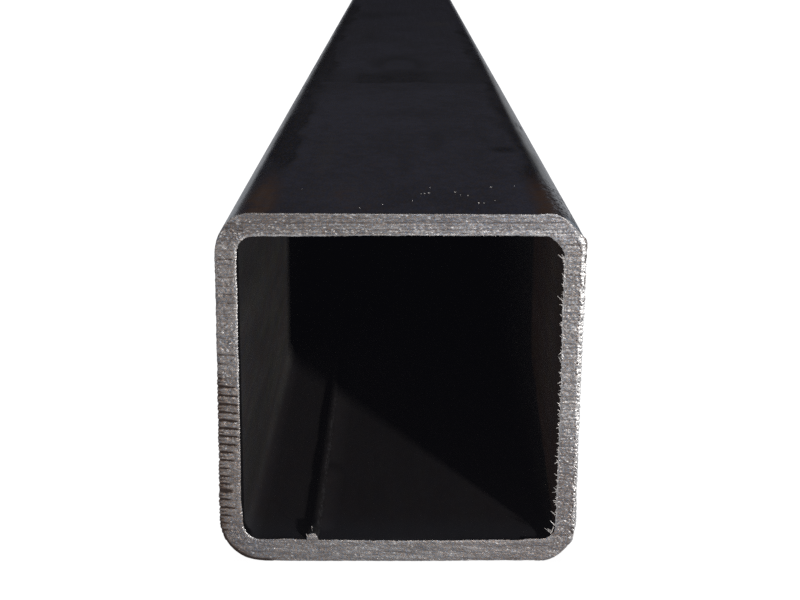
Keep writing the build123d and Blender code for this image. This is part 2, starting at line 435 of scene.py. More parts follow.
def edge_shift(s, p, amount, seed):
    n = vnoise(s / 0.42, 0.5, seed) + 0.7 * vnoise(s / 0.19, 3.5, seed + 1) + 0.8 * vnoise(s / 1.7, 6.5, seed + 2)
    return amount * n


def cut_end(sign, seed):
    """Vertices of one sawn end: rows across the wall, from the outer edge in, and the
    rings behind its two edges.  sign is -1 at the front and 1 at the back."""
    front = sign < 0
    index = np.arange(N) if front else MID
    po, pi = outer0[index], inner0[index]
    no, ni = out_n[index], in_n[index]
    so, si = S_OUT[index], S_IN[index]
    scale = 1.0 if front else 0.8
    jo = edge_shift(so, po, OUT_J[index], seed + 20) * scale
    ji = edge_shift(si, pi, IN_J[index], seed + 30) * scale
    ow, od, iw, idp = OUT_W[index], OUT_D[index].copy(), IN_W[index], IN_D[index].copy()
    if not front:  # the far end was cut from the other side, with a cleaner blade
        ow, od = 0.16 + 0 * ow, 0.09 + 0 * od
        iw, idp = 0.15 + 0 * iw, 0.08 + 0 * idp
    if front:
        x, z = po.T
        # bites out of the top edge and teeth on the left and right ones
        for c, w, d in ((-17.7, 0.32, 0.10), (-20.2, 0.2, 0.07), (-6.1, 0.25, 0.05), (-0.5, 0.2, 0.05), (12.4, 0.2, 0.05), (18.3, 0.25, 0.07), (4.4, 0.3, 0.05)):
            jo = jo - d * bump(x, c, w) * (z > 48)
        left = (x < -24.0) & (z > 3.0)
        notch = np.zeros(len(x))
        for k, (z0, length, d, w, b) in enumerate(GROOVES + SHORT):
            notch = np.maximum(notch, b * bump(z, z0, w * 1.3) * (0.7 if k >= len(GROOVES) else 1.0))
        jo = jo - left * 0.09 * notch * smooth(29.5, 26.5, z)
        jo = jo + left * 0.07 * smooth(29.5, 26.5, z)
        od = od + left * 0.06 * notch
        jo = jo + outline_shift(OUT_SHIFT, po, index)
        ji = ji + outline_shift(IN_SHIFT, pi, index)
        jo = jo + 0.07 * bump(x, 19.6, 1.3) * (z > 48)
        right = (x > 23.5) & (z > 3.5) & (z < 47.5)
        tooth = np.zeros(len(x))
        for k, z0 in enumerate(RIGHT_NOTCHES):
            tooth = np.maximum(tooth, bump(z, z0 + 0.12 * math.sin(k * 2.3), 0.16))
        jo = jo + right * (0.04 * (1 - tooth) - 0.05 * tooth - 0.16 * smooth(30, 8, z)) * smooth(47.5, 44, z)
        # scallops on the left wall's inner edge
        scal = 0.5 + 0.5 * np.cos(2 * np.pi * (pi[:, 1] / 0.52 + 0.35 * vnoise(pi[:, 1] / 1.3, 0.5, 88)))
        inl = (pi[:, 0] < -21.2) & (pi[:, 1] > 4.5) & (pi[:, 1] < 45.5)
        ji = ji + inl * (0.055 * scal * smooth(24, 30, pi[:, 1]) + 0.03 * scal)
        idp = idp * np.where(inl, 0.55 + 0.75 * scal, 1.0)
    wall = np.linalg.norm(po - pi, axis=1)
    full = np.array([0, .045, .10, .16, .23, .31, .41, .53, .67])
    if front:
        middle = np.linspace(0.67, 2.33, 14)[1:-1]
    else:
        full = np.array([0, .09, .20, .36, .60])
        middle = np.linspace(0.60, 2.40, 8)[1:-1]
    rows = np.concatenate([full, middle, 3.0 - full[::-1]]) / 3.0
    d_out = rows[None, :] * wall[:, None]
    d_in = (1 - rows[None, :]) * wall[:, None]
    x = po[:, 0:1] * (1 - rows) + pi[:, 0:1] * rows
    z = po[:, 1:2] * (1 - rows) + pi[:, 1:2] * rows
    h = saw_relief(x, z, seed, front)
    brown = np.zeros_like(x)
    if front:
        deep, brown = groove_field(x, z)
        # teeth on the right wall's turned-over strip
        cut = np.zeros_like(x)
        for k, (xc, z0, size) in enumerate(RIGHT_SPOTS):
            inward = 0.05 if xc > 24.4 and 16 < z0 < 38 else 0.0
            zc = z0 - (0.45 + 0.25 * math.sin(k * 2.1)) * (x - xc)
            along_x = np.exp(-(np.abs((x - xc + inward) / (0.092 + 0.090 * size)) ** 2.4))
            cut = np.maximum(cut, np.exp(-(((z - zc) / (0.078 + 0.050 * size)) ** 2)) * along_x * np.clip(0.53 + 0.55 * size, 0, 1))
        strip = smooth(3.0, 4.5, z) * smooth(47.5, 45.5, z) * (x > 22)
        deep = np.maximum(deep, 0.05 * cut * strip)
        brown = np.maximum(brown, (0.72 + 0.12 * smooth(40, 36, z)) * cut * strip)
        # painted shade darkening the outer edge of the bottom left corner, with brown streaks beside it
        so2 = so[:, None]
        under = smooth(-16.0, -19.5, po[:, 0:1]) * smooth(7.5, 5.0, po[:, 1:2]) * (po[:, 0:1] < 0)
        edge_in = 0.20 + 0.20 * smooth(4.8, 1.2, po[:, 1:2]) + 0.06 * vnoise(so2 / 0.8, 0.5, 79)
        brown = np.maximum(brown, 0.90 * np.exp(-((d_out / edge_in) ** 2.2)) * under)
        for at, w, much in ((0.62, 0.075, .42), (0.90, 0.07, .26), (1.22, 0.08, .30), (1.62, 0.07, .20)):
            wavy = at + 0.10 * vnoise(so2 / 2.6, at * 9, 82)
            streak = np.exp(-(((d_out - wavy) / w) ** 2)) * np.clip(0.55 + 0.9 * vnoise(so2 / 1.5, at * 5, 83), 0, 1)
            brown = np.maximum(brown, much * streak * under)
        # and the shallow line beside the torn edge of the right wall
        beside = np.exp(-(((d_in - 0.40) / 0.07) ** 2)) * (pi[:, 0:1] > 21.9) * smooth(9.0, 11.0, z) * smooth(45.0, 43.5, z)
        brown = np.maximum(brown, 0.38 * beside * (0.6 + 0.5 * vnoise(z * 1.3, 0.5, 80)))
        bright = np.zeros_like(x)
        for xa, za, xb, zb, w, dark_by, bright_by in STROKES:
            ux, uz = xb - xa, zb - za
            part = np.clip(((x - xa) * ux + (z - za) * uz) / (ux * ux + uz * uz), 0, 1)
            g = np.exp(-(((x - xa - part * ux) ** 2 + (z - za - part * uz) ** 2) / w ** 2))
            brown = np.maximum(brown, dark_by * g)
            deep = np.maximum(deep, 0.04 * dark_by * g)
            bright = np.maximum(bright, bright_by * g)
        lumps = nugget_field(x, z)
        h = h * (1 - 0.6 * smooth(24.1, 24.5, x) * smooth(3.0, 6.0, z)) + lumps
        h = h - deep
    quiet = 1 - 0.5 * np.exp(-((np.minimum(d_out, d_in) / 0.12) ** 2))
    h = h * np.where(np.minimum(d_out, d_in) < 0.5, quiet, 1)
    roll = od[:, None] * np.exp(-((d_out / ow[:, None]) ** 1.35)) + idp[:, None] * np.exp(-((d_in / iw[:, None]) ** 1.35))
    # burnish_and_highlight: painted highlights (glints, lips, bright rows, strokes, nuggets) and the burnished strip on
    # the right wall
    burnish_and_highlight = np.zeros_like(x)
    if front:
        # the strip along the right wall that the saw's last stroke laid over
        rag = vnoise(z / 0.45, 0.5, 131) * 0.16 + vnoise(z / 0.17, 2.5, 132) * 0.10 + vnoise(z / 1.9, 4.5, 133) * 0.10
        wide = np.interp(z, (5, 10, 13.4, 16.7, 20, 23.3, 26.6, 30, 33.2, 36.5, 40, 43, 46), (.60, .74, .70, .60, .56, .68, .76, .75, .79, .64, .54, .60, .60))
        wide = (wide + 1.15 * rag) * smooth(2.2, 6.5, z)
        wide = wide * (0.35 + 0.65 * smooth(47.2, 45.6, z)) * smooth(48.6, 47.4, z) + 1e-3
        t = np.clip(1 - d_out / wide, 0, 1)
        here = (po[:, 0:1] > 21.0) & (po[:, 1:2] > 2.2)
        roll = roll + here * (0.24 - 0.06 * smooth(45.5, 46.6, z)) * wide * t ** 1.1
        # the strip is painted bright: burnished steel, and in part a painted highlight
        burnish_and_highlight = here * smooth(0.02, 0.16, t) * smooth(21.5, 22.4, po[:, 0:1])
        burnish_and_highlight = np.maximum(burnish_and_highlight, ridge_highlight(x, z))
        burnish_and_highlight = np.maximum(burnish_and_highlight, bright)
        # the nuggets are painted bright as well, a painted highlight on them
        burnish_and_highlight = np.maximum(burnish_and_highlight * (1 - 0.20 * smooth(22, 12, z)), np.clip(lumps * 22, 0, 1))
        edge_line = np.exp(-((d_out / (0.105 + 0.07 * smooth(44.6, 45.6, z))) ** 2)) * smooth(21.5, 22.6, po[:, 0:1]) * smooth(35.5, 38.5, z) * smooth(49.6, 48.6, z)
        edge_line = edge_line * np.clip(0.75 + 0.8 * vnoise(so2 / 0.9, 0.5, 84) + 0.5 * smooth(44.6, 45.6, z), 0.25, 1)
        burnish_and_highlight = burnish_and_highlight * (1 - 0.95 * edge_line)
        brown = np.maximum(brown, (0.40 + 0.10 * smooth(44.0, 45.4, z)) * edge_line)
        # painted highlights: along the strip's outer edge low down, and in dots by its foot
        painted_rim = np.exp(-((d_out / 0.21) ** 2)) * smooth(23.0, 24.2, po[:, 0:1]) * smooth(2.6, 3.8, z) * smooth(23, 17, z)
        burnish_and_highlight = np.maximum(burnish_and_highlight, painted_rim)
        foot = np.exp(-(((d_out - 0.30) / 0.26) ** 2)) * (po[:, 0:1] > 22.5) * smooth(3.0, 4.2, z) * smooth(9.5, 7.5, z)
        burnish_and_highlight = np.maximum(burnish_and_highlight, 0.95 * foot * np.clip(0.7 + 0.8 * vnoise(x / 0.25, z / 0.22, 86), 0, 1))
        h = h + 0.050 * painted_rim * vnoise(x / 0.20, z / 0.17, 85)
        # darker brown in the hollows between the nuggets
        soil = smooth(24.0, 24.35, x) * smooth(21, 12, z) * smooth(3.2, 4.2, z) * np.clip(1 - lumps * 25, 0, 1) * (1 - painted_rim)
        brown = np.maximum(brown, 0.62 * soil * smooth(-0.1, 0.5, vnoise(x / 0.30, z / 0.30, 81)))
        # the weld's lump on the cut is rubbed cleaner than the wall
        lump = (seg_id[index] == 1)[:, None] * smooth(3.0, 3.4, z)
        burnish_and_highlight = np.maximum(burnish_and_highlight, 0.16 * lump)
        h = h * (1 - 0.60 * lump)
        # painted highlights in dots along the inner edges' torn lips
        dots = smooth(-0.25, 0.45, vnoise(si / 0.28, 0.5, 141) + 0.5 * vnoise(si / 0.9, 0.5, 142))
        dots = np.where(inl, (0.35 + 0.45 * smooth(0.05, 0.6, scal)) * (0.50 + 0.50 * smooth(14, 26, pi[:, 1])), dots)
        dots = np.where(pi[:, 1] > 46.5, 0.45 + 0.55 * dots, dots)
        dots = np.where((pi[:, 0] < -15) & (pi[:, 1] < 9.5), dots * 0.35, dots)
        dots = np.where(seg_id[index] == 9, np.maximum(dots, 1.1 * smooth(0.10, 0.20, seg_t[index]) * smooth(0.78, 0.66, seg_t[index])), dots)
        lip_w = 0.115 + 0.13 * inl[:, None] * smooth(20, 27, pi[:, 1:2]) + 0.03 * (pi[:, 1:2] > 46)
        lip = np.exp(-(((d_in - 0.06) / lip_w) ** 2)) * (IN_LIP[:, None] * dots[:, None] + 0.45 * (pi[:, 0:1] > 22.0) * smooth(4.0, 8.0, z))
        burnish_and_highlight = np.maximum(burnish_and_highlight, np.clip(lip, 0, 1))
        # and painted highlights in dots along the outer edges' lips
        dots = smooth(0.15, 0.65, vnoise(so / 0.45, 0.5, 143) + 0.4 * vnoise(so / 0.2, 0.5, 144))
        dots = np.where(po[:, 1] > 49, 0.35 + 0.65 * dots, dots)
        burnish_and_highlight = np.maximum(burnish_and_highlight, np.exp(-(((d_out - 0.05) / 0.11) ** 2)) * (OUT_LIP * dots)[:, None])
    # the edges in the plane of the face
    fo = np.exp(-d_out / 0.16) * jo[:, None] - 0.45 * od[:, None] * np.exp(-d_out / 0.07)
    fi = np.exp(-d_in / 0.16) * ji[:, None] - 0.35 * idp[:, None] * np.exp(-d_in / 0.07)
    x = x + no[:, 0:1] * fo + ni[:, 0:1] * fi
    z = z + no[:, 1:2] * fo + ni[:, 1:2] * fi
    y = sign * (HALF_LENGTH + h - roll)
    face = np.stack([x, y, z], 2)

    depths = np.array([0.10, 0.32, 0.75, 1.6, 3.0]) if front else np.array([0.25, 0.8, 1.8, 3.0])
    rings = []
    for p, n, s, j, rd, base_y, sd in ((po, no, so, jo, od, y[:, 0], seed + 40), (pi, ni, si, ji, idp, y[:, -1], seed + 50)):
        this = []
        reach = np.where((p[:, 0] > 24.0) & (j < 0) & front, 2.4, 0.45)
        for dy in depths:
            shift = j * np.exp(-dy / reach) - 0.45 * rd * math.exp(-dy / 0.12)
            shift = shift + 0.012 * vnoise(s / 0.6, dy / 0.5, sd) * math.exp(-dy / 1.5)
            q = p + n * shift[:, None]
            yy = base_y - sign * dy * 1.0
            # the rings straighten out as they leave the edge
            flat = sign * (HALF_LENGTH - dy)
            w = math.exp(-dy / 0.5)
            yy = np.where(sign < 0, np.maximum(yy * w + flat * (1 - w), base_y + 0.02), np.minimum(yy * w + flat * (1 - w), base_y - 0.02))
            this.append(np.stack([q[:, 0], yy, q[:, 1]], 1))
        rings.append(np.stack(this, 1))  # (n, ring, 3)
    return index, face, rings[0], rings[1], brown, burnish_and_highlight


def waves(p, n, s, y, inside):
    """Sideways shift of the rolled walls at y: faint hollows and rolls, mm."""
    x, z = p.T
    flat_x = np.clip(1 - (np.abs(x) / 19.0) ** 2, 0, 1) * (np.abs(n[:, 1]) > 0.9)
    flat_z = np.clip(1 - (np.abs(z - 25) / 19.0) ** 2, 0, 1) * (np.abs(n[:, 0]) > 0.9)
    hollow = -0.055 * (flat_x + flat_z)
    roll = 0.016 * vnoise(y / 61.0, s / 24.0, 301) + 0.008 * vnoise(y / 23.0, s / 11.0, 302)
    if inside:
        return -hollow * 0.6 + 1.3 * roll
    return hollow + roll


def body_rings():
    """The long part: rings of the coarse loop at stations along the tube."""
    t = np.linspace(0, 1, 84)
    ys = -HALF_LENGTH + 4.6 + (2 * HALF_LENGTH - 9.2) * (0.24 * t + 0.76 * t * t)
    po, pi = outer0[COARSE], inner0[COARSE].copy()
    no, ni = out_n[COARSE], in_n[COARSE]
    so, si = S_OUT[COARSE], S_IN[COARSE]
    bead = seg_id[COARSE] == 1
    out, inn = [], []
    for y in ys:
        ends = smooth(4.0, 40.0, HALF_LENGTH - abs(y))
        q = po + no * (waves(po, no, so, y, False) * ends)[:, None]
        out.append(np.stack([q[:, 0], np.full(len(q), y), q[:, 1]], 1))
        base = pi.copy()
        # the ridge is lower and narrower than where the saw upset it at the cut
        low = smooth(0.6, 5.0, HALF_LENGTH - abs(y))
        wob = (1 - 0.36 * low) + ends * (0.17 * float(vnoise(y / 13.0, 0.5, 311)) + 0.20 * float(vnoise(y / 4.6, 2.5, 312)))
        base[bead, 1] = IN_BOTTOM + (pi[bead, 1] - IN_BOTTOM) * wob
        mid_x = 0.5 * (BEAD_FROM + BEAD_TO)
        base[bead, 0] = mid_x + (pi[bead, 0] - mid_x) * (1 - 0.30 * low) + ends * (0.10 * float(vnoise(y / 31.0, 4.5, 313)) + 0.09 * float(vnoise(y / 7.0, 6.5, 314))) + 0.12 * low
        q = base + ni * (waves(pi, ni, si, y, True) * ends * np.where(bead, 0.2, 1.0))[:, None]
        inn.append(np.stack([q[:, 0], np.full(len(q), y), q[:, 1]], 1))
    return ys, np.stack(out, 1), np.stack(inn, 1)


# ----------------------------------------------------------------------------
# one closed mesh
# ----------------------------------------------------------------------------
class Builder:
    def __init__(self):
        self.verts, self.attrs, self.count = [], {"brown": [], "bare": [], "burnish_and_highlight": [], "worn": []}, 0
        self.faces, self.uvs, self.mats, self.sizes = [], [], [], []

    def add(self, grid, brown=0.0, bare=0.0, burnish_and_highlight=0.0, worn=0.0):
        shape = grid.shape[:-1]
        flat = grid.reshape(-1, 3)
        ids = np.arange(self.count, self.count + len(flat)).reshape(shape)
        self.verts.append(flat)
        self.attrs["brown"].append(np.broadcast_to(brown, shape).reshape(-1))
        self.attrs["bare"].append(np.broadcast_to(bare, shape).reshape(-1))
        self.attrs["burnish_and_highlight"].append(np.broadcast_to(burnish_and_highlight, shape).reshape(-1))
        self.attrs["worn"].append(np.broadcast_to(worn, shape).reshape(-1))
        self.count += len(flat)
        return ids

    def poly(self, corners, uv, mat):
        """corners: (n, k) vertex ids; uv: (n, k, 2)"""
        self.faces.append(corners.reshape(-1))
        self.uvs.append(uv.reshape(-1, 2))
        self.sizes.append(np.full(len(corners), corners.shape[1]))
        self.mats.append(np.full(len(corners), mat))

    def grid(self, ids, u, v, mat, flip=False, closed=True):
        """Quads over ids (n round, m across).  u is (n+1), v is (m): the last column of
        the walk closes on the first but keeps its own place on the map."""
        n, m = ids.shape
        a = np.arange(n if closed else n - 1)
        b = (a + 1) % n
        c1, c2, c3, c4 = ids[a][:, :-1], ids[b][:, :-1], ids[b][:, 1:], ids[a][:, 1:]
        ua, ub = u[a], u[a + 1]
        U = lambda q: np.repeat(q[:, None], m - 1, 1)
        V = lambda q: np.repeat(q[None, :], len(a), 0)
        uv = [
            np.stack([U(ua), V(v[:-1])], 2), np.stack([U(ub), V(v[:-1])], 2),
            np.stack([U(ub), V(v[1:])], 2), np.stack([U(ua), V(v[1:])], 2),
        ]
        cs = [c1, c2, c3, c4]
        if flip:
            cs, uv = cs[::-1], uv[::-1]
        self.poly(np.stack(cs, 2).reshape(-1, 4), np.stack(uv, 2).reshape(-1, 4, 2), mat)

    def fan(self, fine, coarse, at, total, uf, vf, vc, mat, flip=False):
        """Triangles between a fine ring and a coarse one whose points lie at the fine
        indices `at`."""
        tri, uv = [], []
        ends = np.concatenate([at[1:], [total]])
        for c in range(len(at)):
            a, b = at[c], ends[c]
            m = (a + b) // 2
            c0, c1 = coarse[c], coarse[(c + 1) % len(at)]
            ua, ub = uf[a], uf[b]
            for f in range(a, b):
                g = (f + 1) % total
                top, ut = (c0, ua) if f < m else (c1, ub)
                tri.append((fine[f], fine[g], top))
                uv.append(((uf[f], vf), (uf[f + 1], vf), (ut, vc)))
            tri.append((fine[m % total], c1, c0))
            uv.append(((uf[m], vf), (ub, vc), (ua, vc)))
        tri, uv = np.array(tri), np.array(uv, float)
        if flip:
            tri, uv = tri[:, ::-1], uv[:, ::-1]
        self.poly(tri, uv, mat)

    def mesh(self, name):
        me = bpy.data.meshes.new(name)
        co = np.concatenate(self.verts) * 0.001
        me.vertices.add(len(co))
        me.vertices.foreach_set("co", co.astype(np.float32).ravel())
        loops = np.concatenate(self.faces)
        me.loops.add(len(loops))
        me.loops.foreach_set("vertex_index", loops.astype(np.int32))
        sizes = np.concatenate(self.sizes)
        me.polygons.add(len(sizes))
        starts = np.concatenate([[0], np.cumsum(sizes)[:-1]])
        me.polygons.foreach_set("loop_start", starts.astype(np.int32))
        me.polygons.foreach_set("material_index", np.concatenate(self.mats).astype(np.int32))
        me.update(calc_edges=True)
        layer = me.uv_layers.new(name="OFBake")
        layer.uv.foreach_set("vector", np.concatenate(self.uvs).astype(np.float32).ravel())
        for key, parts in self.attrs.items():
            a = me.attributes.new(key, "FLOAT", "POINT")
            a.data.foreach_set("value", np.concatenate(parts).astype(np.float32))
        return me


def strip_u(s, total):
    return np.concatenate([s, [total]])


def build_tube():
    b = Builder()
    PX = 1.0 / 1024
    perimeter_out = S_OUT[-1] + np.linalg.norm(outer0[0] - outer0[-1])
    # four stretches of the walk, each starting at a side's first point
    starts = [0]
    total = 0
    names = [s[0] for s in SEGMENTS]
    first = {}
    k = 0
    for s in SEGMENTS:
        first[s[0]] = k
        k += s[1]
    cuts = [0, first["right"], first["top"], first["left"], N]

    f_idx, f_face, f_out, f_in, f_brown, f_burnish_and_highlight = cut_end(-1, 100)
    k_idx, k_face, k_out, k_in, k_brown, k_burnish_and_highlight = cut_end(1, 500)
    ys, m_out, m_in = body_rings()

    bare_row = np.ones(f_face.shape[1])
    F = b.add(f_face, f_brown, 1.0, f_burnish_and_highlight)
    fade = np.array([0.9, 0.55, 0.2, 0.05, 0.0])
    turn = np.degrees(np.arctan2(outer0[:, 1] - 44.95, outer0[:, 0] - 19.95))
    rubbed = smooth(14, 24, turn) * smooth(70, 58, turn)
    rubbed = rubbed[:, None] * np.array([1.0, 1.0, 0.8, 0.3, 0.0])[None, :]
    FO = b.add(f_out, 0.0, fade[None, :] * (1 - np.clip(rubbed * 3, 0, 1)), 0.0, rubbed)
    FI = b.add(f_in, 0.0, fade[None, :] * (0.7 - 0.35 * smooth(-19, -21, inner0[:, 0]))[:, None])
    MO = b.add(m_out)
    MI = b.add(m_in)
    KO = b.add(k_out, 0.0, np.array([0.6, 0.2, 0.0, 0.0])[None, :])
    KI = b.add(k_in, 0.0, np.array([0.5, 0.15, 0.0, 0.0])[None, :])
    K = b.add(k_face, k_brown, 1.0)

    # map: the front face in four strips at the top, the back face in two below them,
    # then the rings behind the edges and the long walls
    def strips(ids, loop_cuts, s, total, v_rows, top, height, gap, width, mat, flip):
        """Lay a closed grid on the map as strips, one for each stretch between cuts."""
        v = top
        for a, c in zip(loop_cuts[:-1], loop_cuts[1:]):
            sel = np.arange(a, c + 1) % len(ids)
            length = np.concatenate([s, [total]])
            u = length[a : c + 1] - length[a]
            u = (3 + u / u[-1] * (width - 6)) * PX
            vv = 1 - (v + 1.5 + v_rows * (height - 3)) * PX
            b.grid(ids[sel], u, vv, mat, flip, closed=False)
            v += height + gap
        return v

    wall_rows = np.linspace(0, 1, F.shape[1])
    # true distances across the wall
    d = np.linalg.norm(np.diff(f_face[200], axis=0), axis=1)
    wall_rows = np.concatenate([[0], np.cumsum(d)]) / d.sum()
    tot_o = perimeter_out
    v = strips(F, cuts, S_OUT, tot_o, wall_rows, 0, 66, 0, 1024, 1, False)

    # the back face, two stretches side by side
    kcuts = [int(np.searchsorted(MID, c)) for c in cuts]
    ks = S_OUT[MID]
    d = np.linalg.norm(np.diff(k_face[60], axis=0), axis=1)
    krows = np.concatenate([[0], np.cumsum(d)]) / d.sum()
    v = strips(K, kcuts, ks, tot_o, krows, v, 36, 0, 1024, 1, True)

    # rings behind the front edges: the edge row, the rings, and the fan to the body
    uf = (3 + np.concatenate([S_OUT, [tot_o]]) / tot_o * 1018) * PX
    s_in_tot = S_IN[-1] + np.linalg.norm(inner0[0] - inner0[-1])
    ui = (3 + np.concatenate([S_IN, [s_in_tot]]) / s_in_tot * 1018) * PX

    def rows_at(v0, heights):
        return [1 - (v0 + h) * PX for h in heights]

    h = [1.5, 6, 11, 16, 21, 27, 32]
    r = rows_at(v, h)
    ring = np.concatenate([F[:, 0:1], FO], 1)
    b.grid(ring, uf, np.array(r[:6]), 0, flip=True)
    b.fan(FO[:, -1], MO[:, 0], COARSE, N, uf, r[5], r[6], 0, flip=True)
    v += 34
    r = rows_at(v, h)
    ring = np.concatenate([F[:, -1:], FI], 1)
    b.grid(ring, ui, np.array(r[:6]), 2, flip=False)
    b.fan(FI[:, -1], MI[:, 0], COARSE, N, ui, r[5], r[6], 2, flip=False)
    v += 34
    # rings behind the back edges
    h = [1.5, 5, 9, 12, 16, 19]
    r = rows_at(v, h)
    ukm = uf[np.concatenate([MID, [N]])]
    ring = np.concatenate([K[:, 0:1], KO], 1)
    b.grid(ring, ukm, np.array(r[:5]), 0, flip=False)
    at = np.searchsorted(MID, COARSE)
    b.fan(KO[:, -1], MO[:, -1], at, len(MID), ukm, r[4], r[5], 0, flip=False)
    v += 21
    r = rows_at(v, h)
    uki = ui[np.concatenate([MID, [N]])]
    ring = np.concatenate([K[:, -1:], KI], 1)
    b.grid(ring, uki, np.array(r[:5]), 2, flip=True)
    b.fan(KI[:, -1], MI[:, -1], at, len(MID), uki, r[4], r[5], 2, flip=True)
    v += 22

    # the long walls: more of the map near the sawn end that is looked at
    def stretch(y):
        a = (y + HALF_LENGTH) / (2 * HALF_LENGTH)
        return np.interp(a, [0, 0.06, 0.2, 1.0], [0, 0.22, 0.42, 1.0])

    uy = (3 + stretch(ys) * 1018) * PX
    left_px = 1024 - v - 2
    ho = int(left_px * 0.64)
    vo = 1 - (v + 1.5 + np.concatenate([S_OUT[COARSE], [tot_o]]) / tot_o * (ho - 3)) * PX
    hi = left_px - ho
    vi = 1 - (v + ho + 1.5 + np.concatenate([S_IN[COARSE], [s_in_tot]]) / s_in_tot * (hi - 3)) * PX

    def long_wall(ids, vround, mat, flip):
        n, m = ids.shape
        a = np.arange(n)
        c = (a + 1) % n
        cs = [ids[a][:, :-1], ids[a][:, 1:], ids[c][:, 1:], ids[c][:, :-1]]
        U0, U1 = np.repeat(uy[None, :-1], n, 0), np.repeat(uy[None, 1:], n, 0)
        V0, V1 = np.repeat(vround[a][:, None], m - 1, 1), np.repeat(vround[a + 1][:, None], m - 1, 1)
        uv = [np.stack([U0, V0], 2), np.stack([U1, V0], 2), np.stack([U1, V1], 2), np.stack([U0, V1], 2)]
        if flip:
            cs, uv = cs[::-1], uv[::-1]
        b.poly(np.stack(cs, 2).reshape(-1, 4), np.stack(uv, 2).reshape(-1, 4, 2), mat)

    long_wall(MO, vo, 0, False)
    long_wall(MI, vi, 2, True)
    return b.mesh("square_tube_body")


tube_mesh = build_tube()
tube = bpy.data.objects.new("square_tube_body", tube_mesh)
bpy.context.scene.collection.objects.link(tube)
tube_mesh.set_sharp_from_angle(angle=math.radians(62))


# ----------------------------------------------------------------------------
# burrs: torn slivers of steel on the bore's edge and chips on the top face
# ----------------------------------------------------------------------------
class Slivers:
    def __init__(self):
        self.v, self.f = [], []

    def sliver(self, root, tip, width, thick, curl=(0, 0, 0), twist=0.0, tipw=0.18):
        """A closed bent sliver from root to tip, mm."""
        root, tip = np.array(root, float), np.array(tip, float)
        d = tip - root
        length = np.linalg.norm(d)
        d = d / length
        side = np.cross(d, (0.0, 1.0, 0.0))
        if np.linalg.norm(side) < 0.2:
            side = np.cross(d, (1.0, 0.0, 0.0))
        side /= np.linalg.norm(side)
        up = np.cross(side, d)
        base = len(self.v)
        rings, sides = 5, 5
        for k in range(rings):
            t = k / (rings - 1)
            centre = root + d * length * t + np.array(curl) * (t * t - 0.25 * t)
            w = width * ((1 - t) ** 0.75 * (1 - tipw) + tipw)
            h = thick * ((1 - t) ** 0.6 * 0.7 + 0.3)
            for m in range(sides):
                a = 2 * math.pi * m / sides + twist * t
                self.v.append(centre + side * w * 0.5 * math.cos(a) + up * h * 0.5 * math.sin(a))
        for k in range(rings - 1):
            for m in range(sides):
                n = (m + 1) % sides
                self.f.append((base + k * sides + m, base + (k + 1) * sides + m, base + (k + 1) * sides + n, base + k * sides + n))
        self.f.append(tuple(base + m for m in range(sides)))
        self.f.append(tuple(base + (rings - 1) * sides + m for m in reversed(range(sides))))

    def chip(self, centre, size, seed):
        """A closed crumb with eight bent corners."""
        r = np.random.default_rng(seed)
        base = len(self.v)
        for sx in (-1, 1):
            for sy in (-1, 1):
                for sz in (-1, 1):
                    p = np.array([sx, sy, sz]) * np.array(size) * 0.5 * r.uniform(0.55, 1.1, 3)
                    self.v.append(np.array(centre) + p)
        q = lambda *a: self.f.append(tuple(base + i for i in a))
        q(0, 1, 3, 2), q(4, 6, 7, 5), q(0, 4, 5, 1), q(2, 3, 7, 6), q(0, 2, 6, 4), q(1, 5, 7, 3)


sl = Slivers()
Y0 = -HALF_LENGTH
SHARDS = [  # root and tip as seen on the face, x and z, then the width
    ((21.95, 43.85), (21.17, 44.52), 0.17), ((21.95, 44.0), (21.70, 44.55), 0.16), ((22.1, 43.9), (21.75, 44.1), 0.22),
    ((22.10, 37.90), (21.26, 38.80), 0.13), ((22.0, 38.0), (21.66, 38.47), 0.15), ((21.98, 37.52), (21.60, 37.56), 0.16),
    ((22.05, 34.62), (21.66, 34.94), 0.14), ((22.0, 30.82), (21.66, 30.45), 0.15), ((21.97, 29.47), (21.71, 30.20), 0.13),
    ((21.97, 26.6), (21.69, 26.35), 0.14), ((22.0, 22.12), (21.78, 21.95), 0.16), ((21.96, 20.01), (21.64, 19.95), 0.16),
    ((22.02, 15.66), (21.62, 15.84), 0.17), ((22.06, 15.11), (21.58, 14.77), 0.17), ((22.10, 10.60), (21.58, 11.18), 0.13),
    ((21.9, 10.48), (21.38, 10.48), 0.10), ((22.0, 9.14), (21.50, 9.22), 0.16), ((22.0, 8.9), (21.62, 9.0), 0.13),
    ((21.92, 6.98), (21.28, 7.68), 0.14), ((21.90, 5.36), (21.24, 6.14), 0.14), ((21.5, 4.5), (20.88, 5.0), 0.16),
    ((21.3, 4.3), (20.48, 5.16), 0.12), ((21.66, 5.2), (21.33, 4.22), 0.14), ((22.05, 23.3), (21.75, 23.6), 0.12),
    ((22.0, 32.9), (21.75, 33.25), 0.12), ((22.0, 35.9), (21.72, 36.15), 0.15), ((22.0, 27.9), (21.72, 28.1), 0.14),
    ((21.95, 12.9), (21.62, 13.25), 0.13), ((21.95, 17.6), (21.70, 17.85), 0.13), ((21.98, 41.6), (21.78, 41.95), 0.12),
    ((21.98, 40.2), (21.78, 40.55), 0.12), ((22.0, 24.7), (21.73, 24.95), 0.13),
]
for k, (a, c, w) in enumerate(SHARDS):
    r = np.random.default_rng(900 + k)
    out = r.uniform(-0.25, 0.05)
    root = (a[0] + 0.12, Y0 + 0.16, a[1] - 0.05)
    tip = (c[0], Y0 + out, c[1])
    sl.sliver(root, tip, w * 1.15, w * 0.6, curl=(0, r.uniform(-0.12, 0.12), r.uniform(-0.05, 0.1)), twist=r.uniform(-1, 1), tipw=0.3)
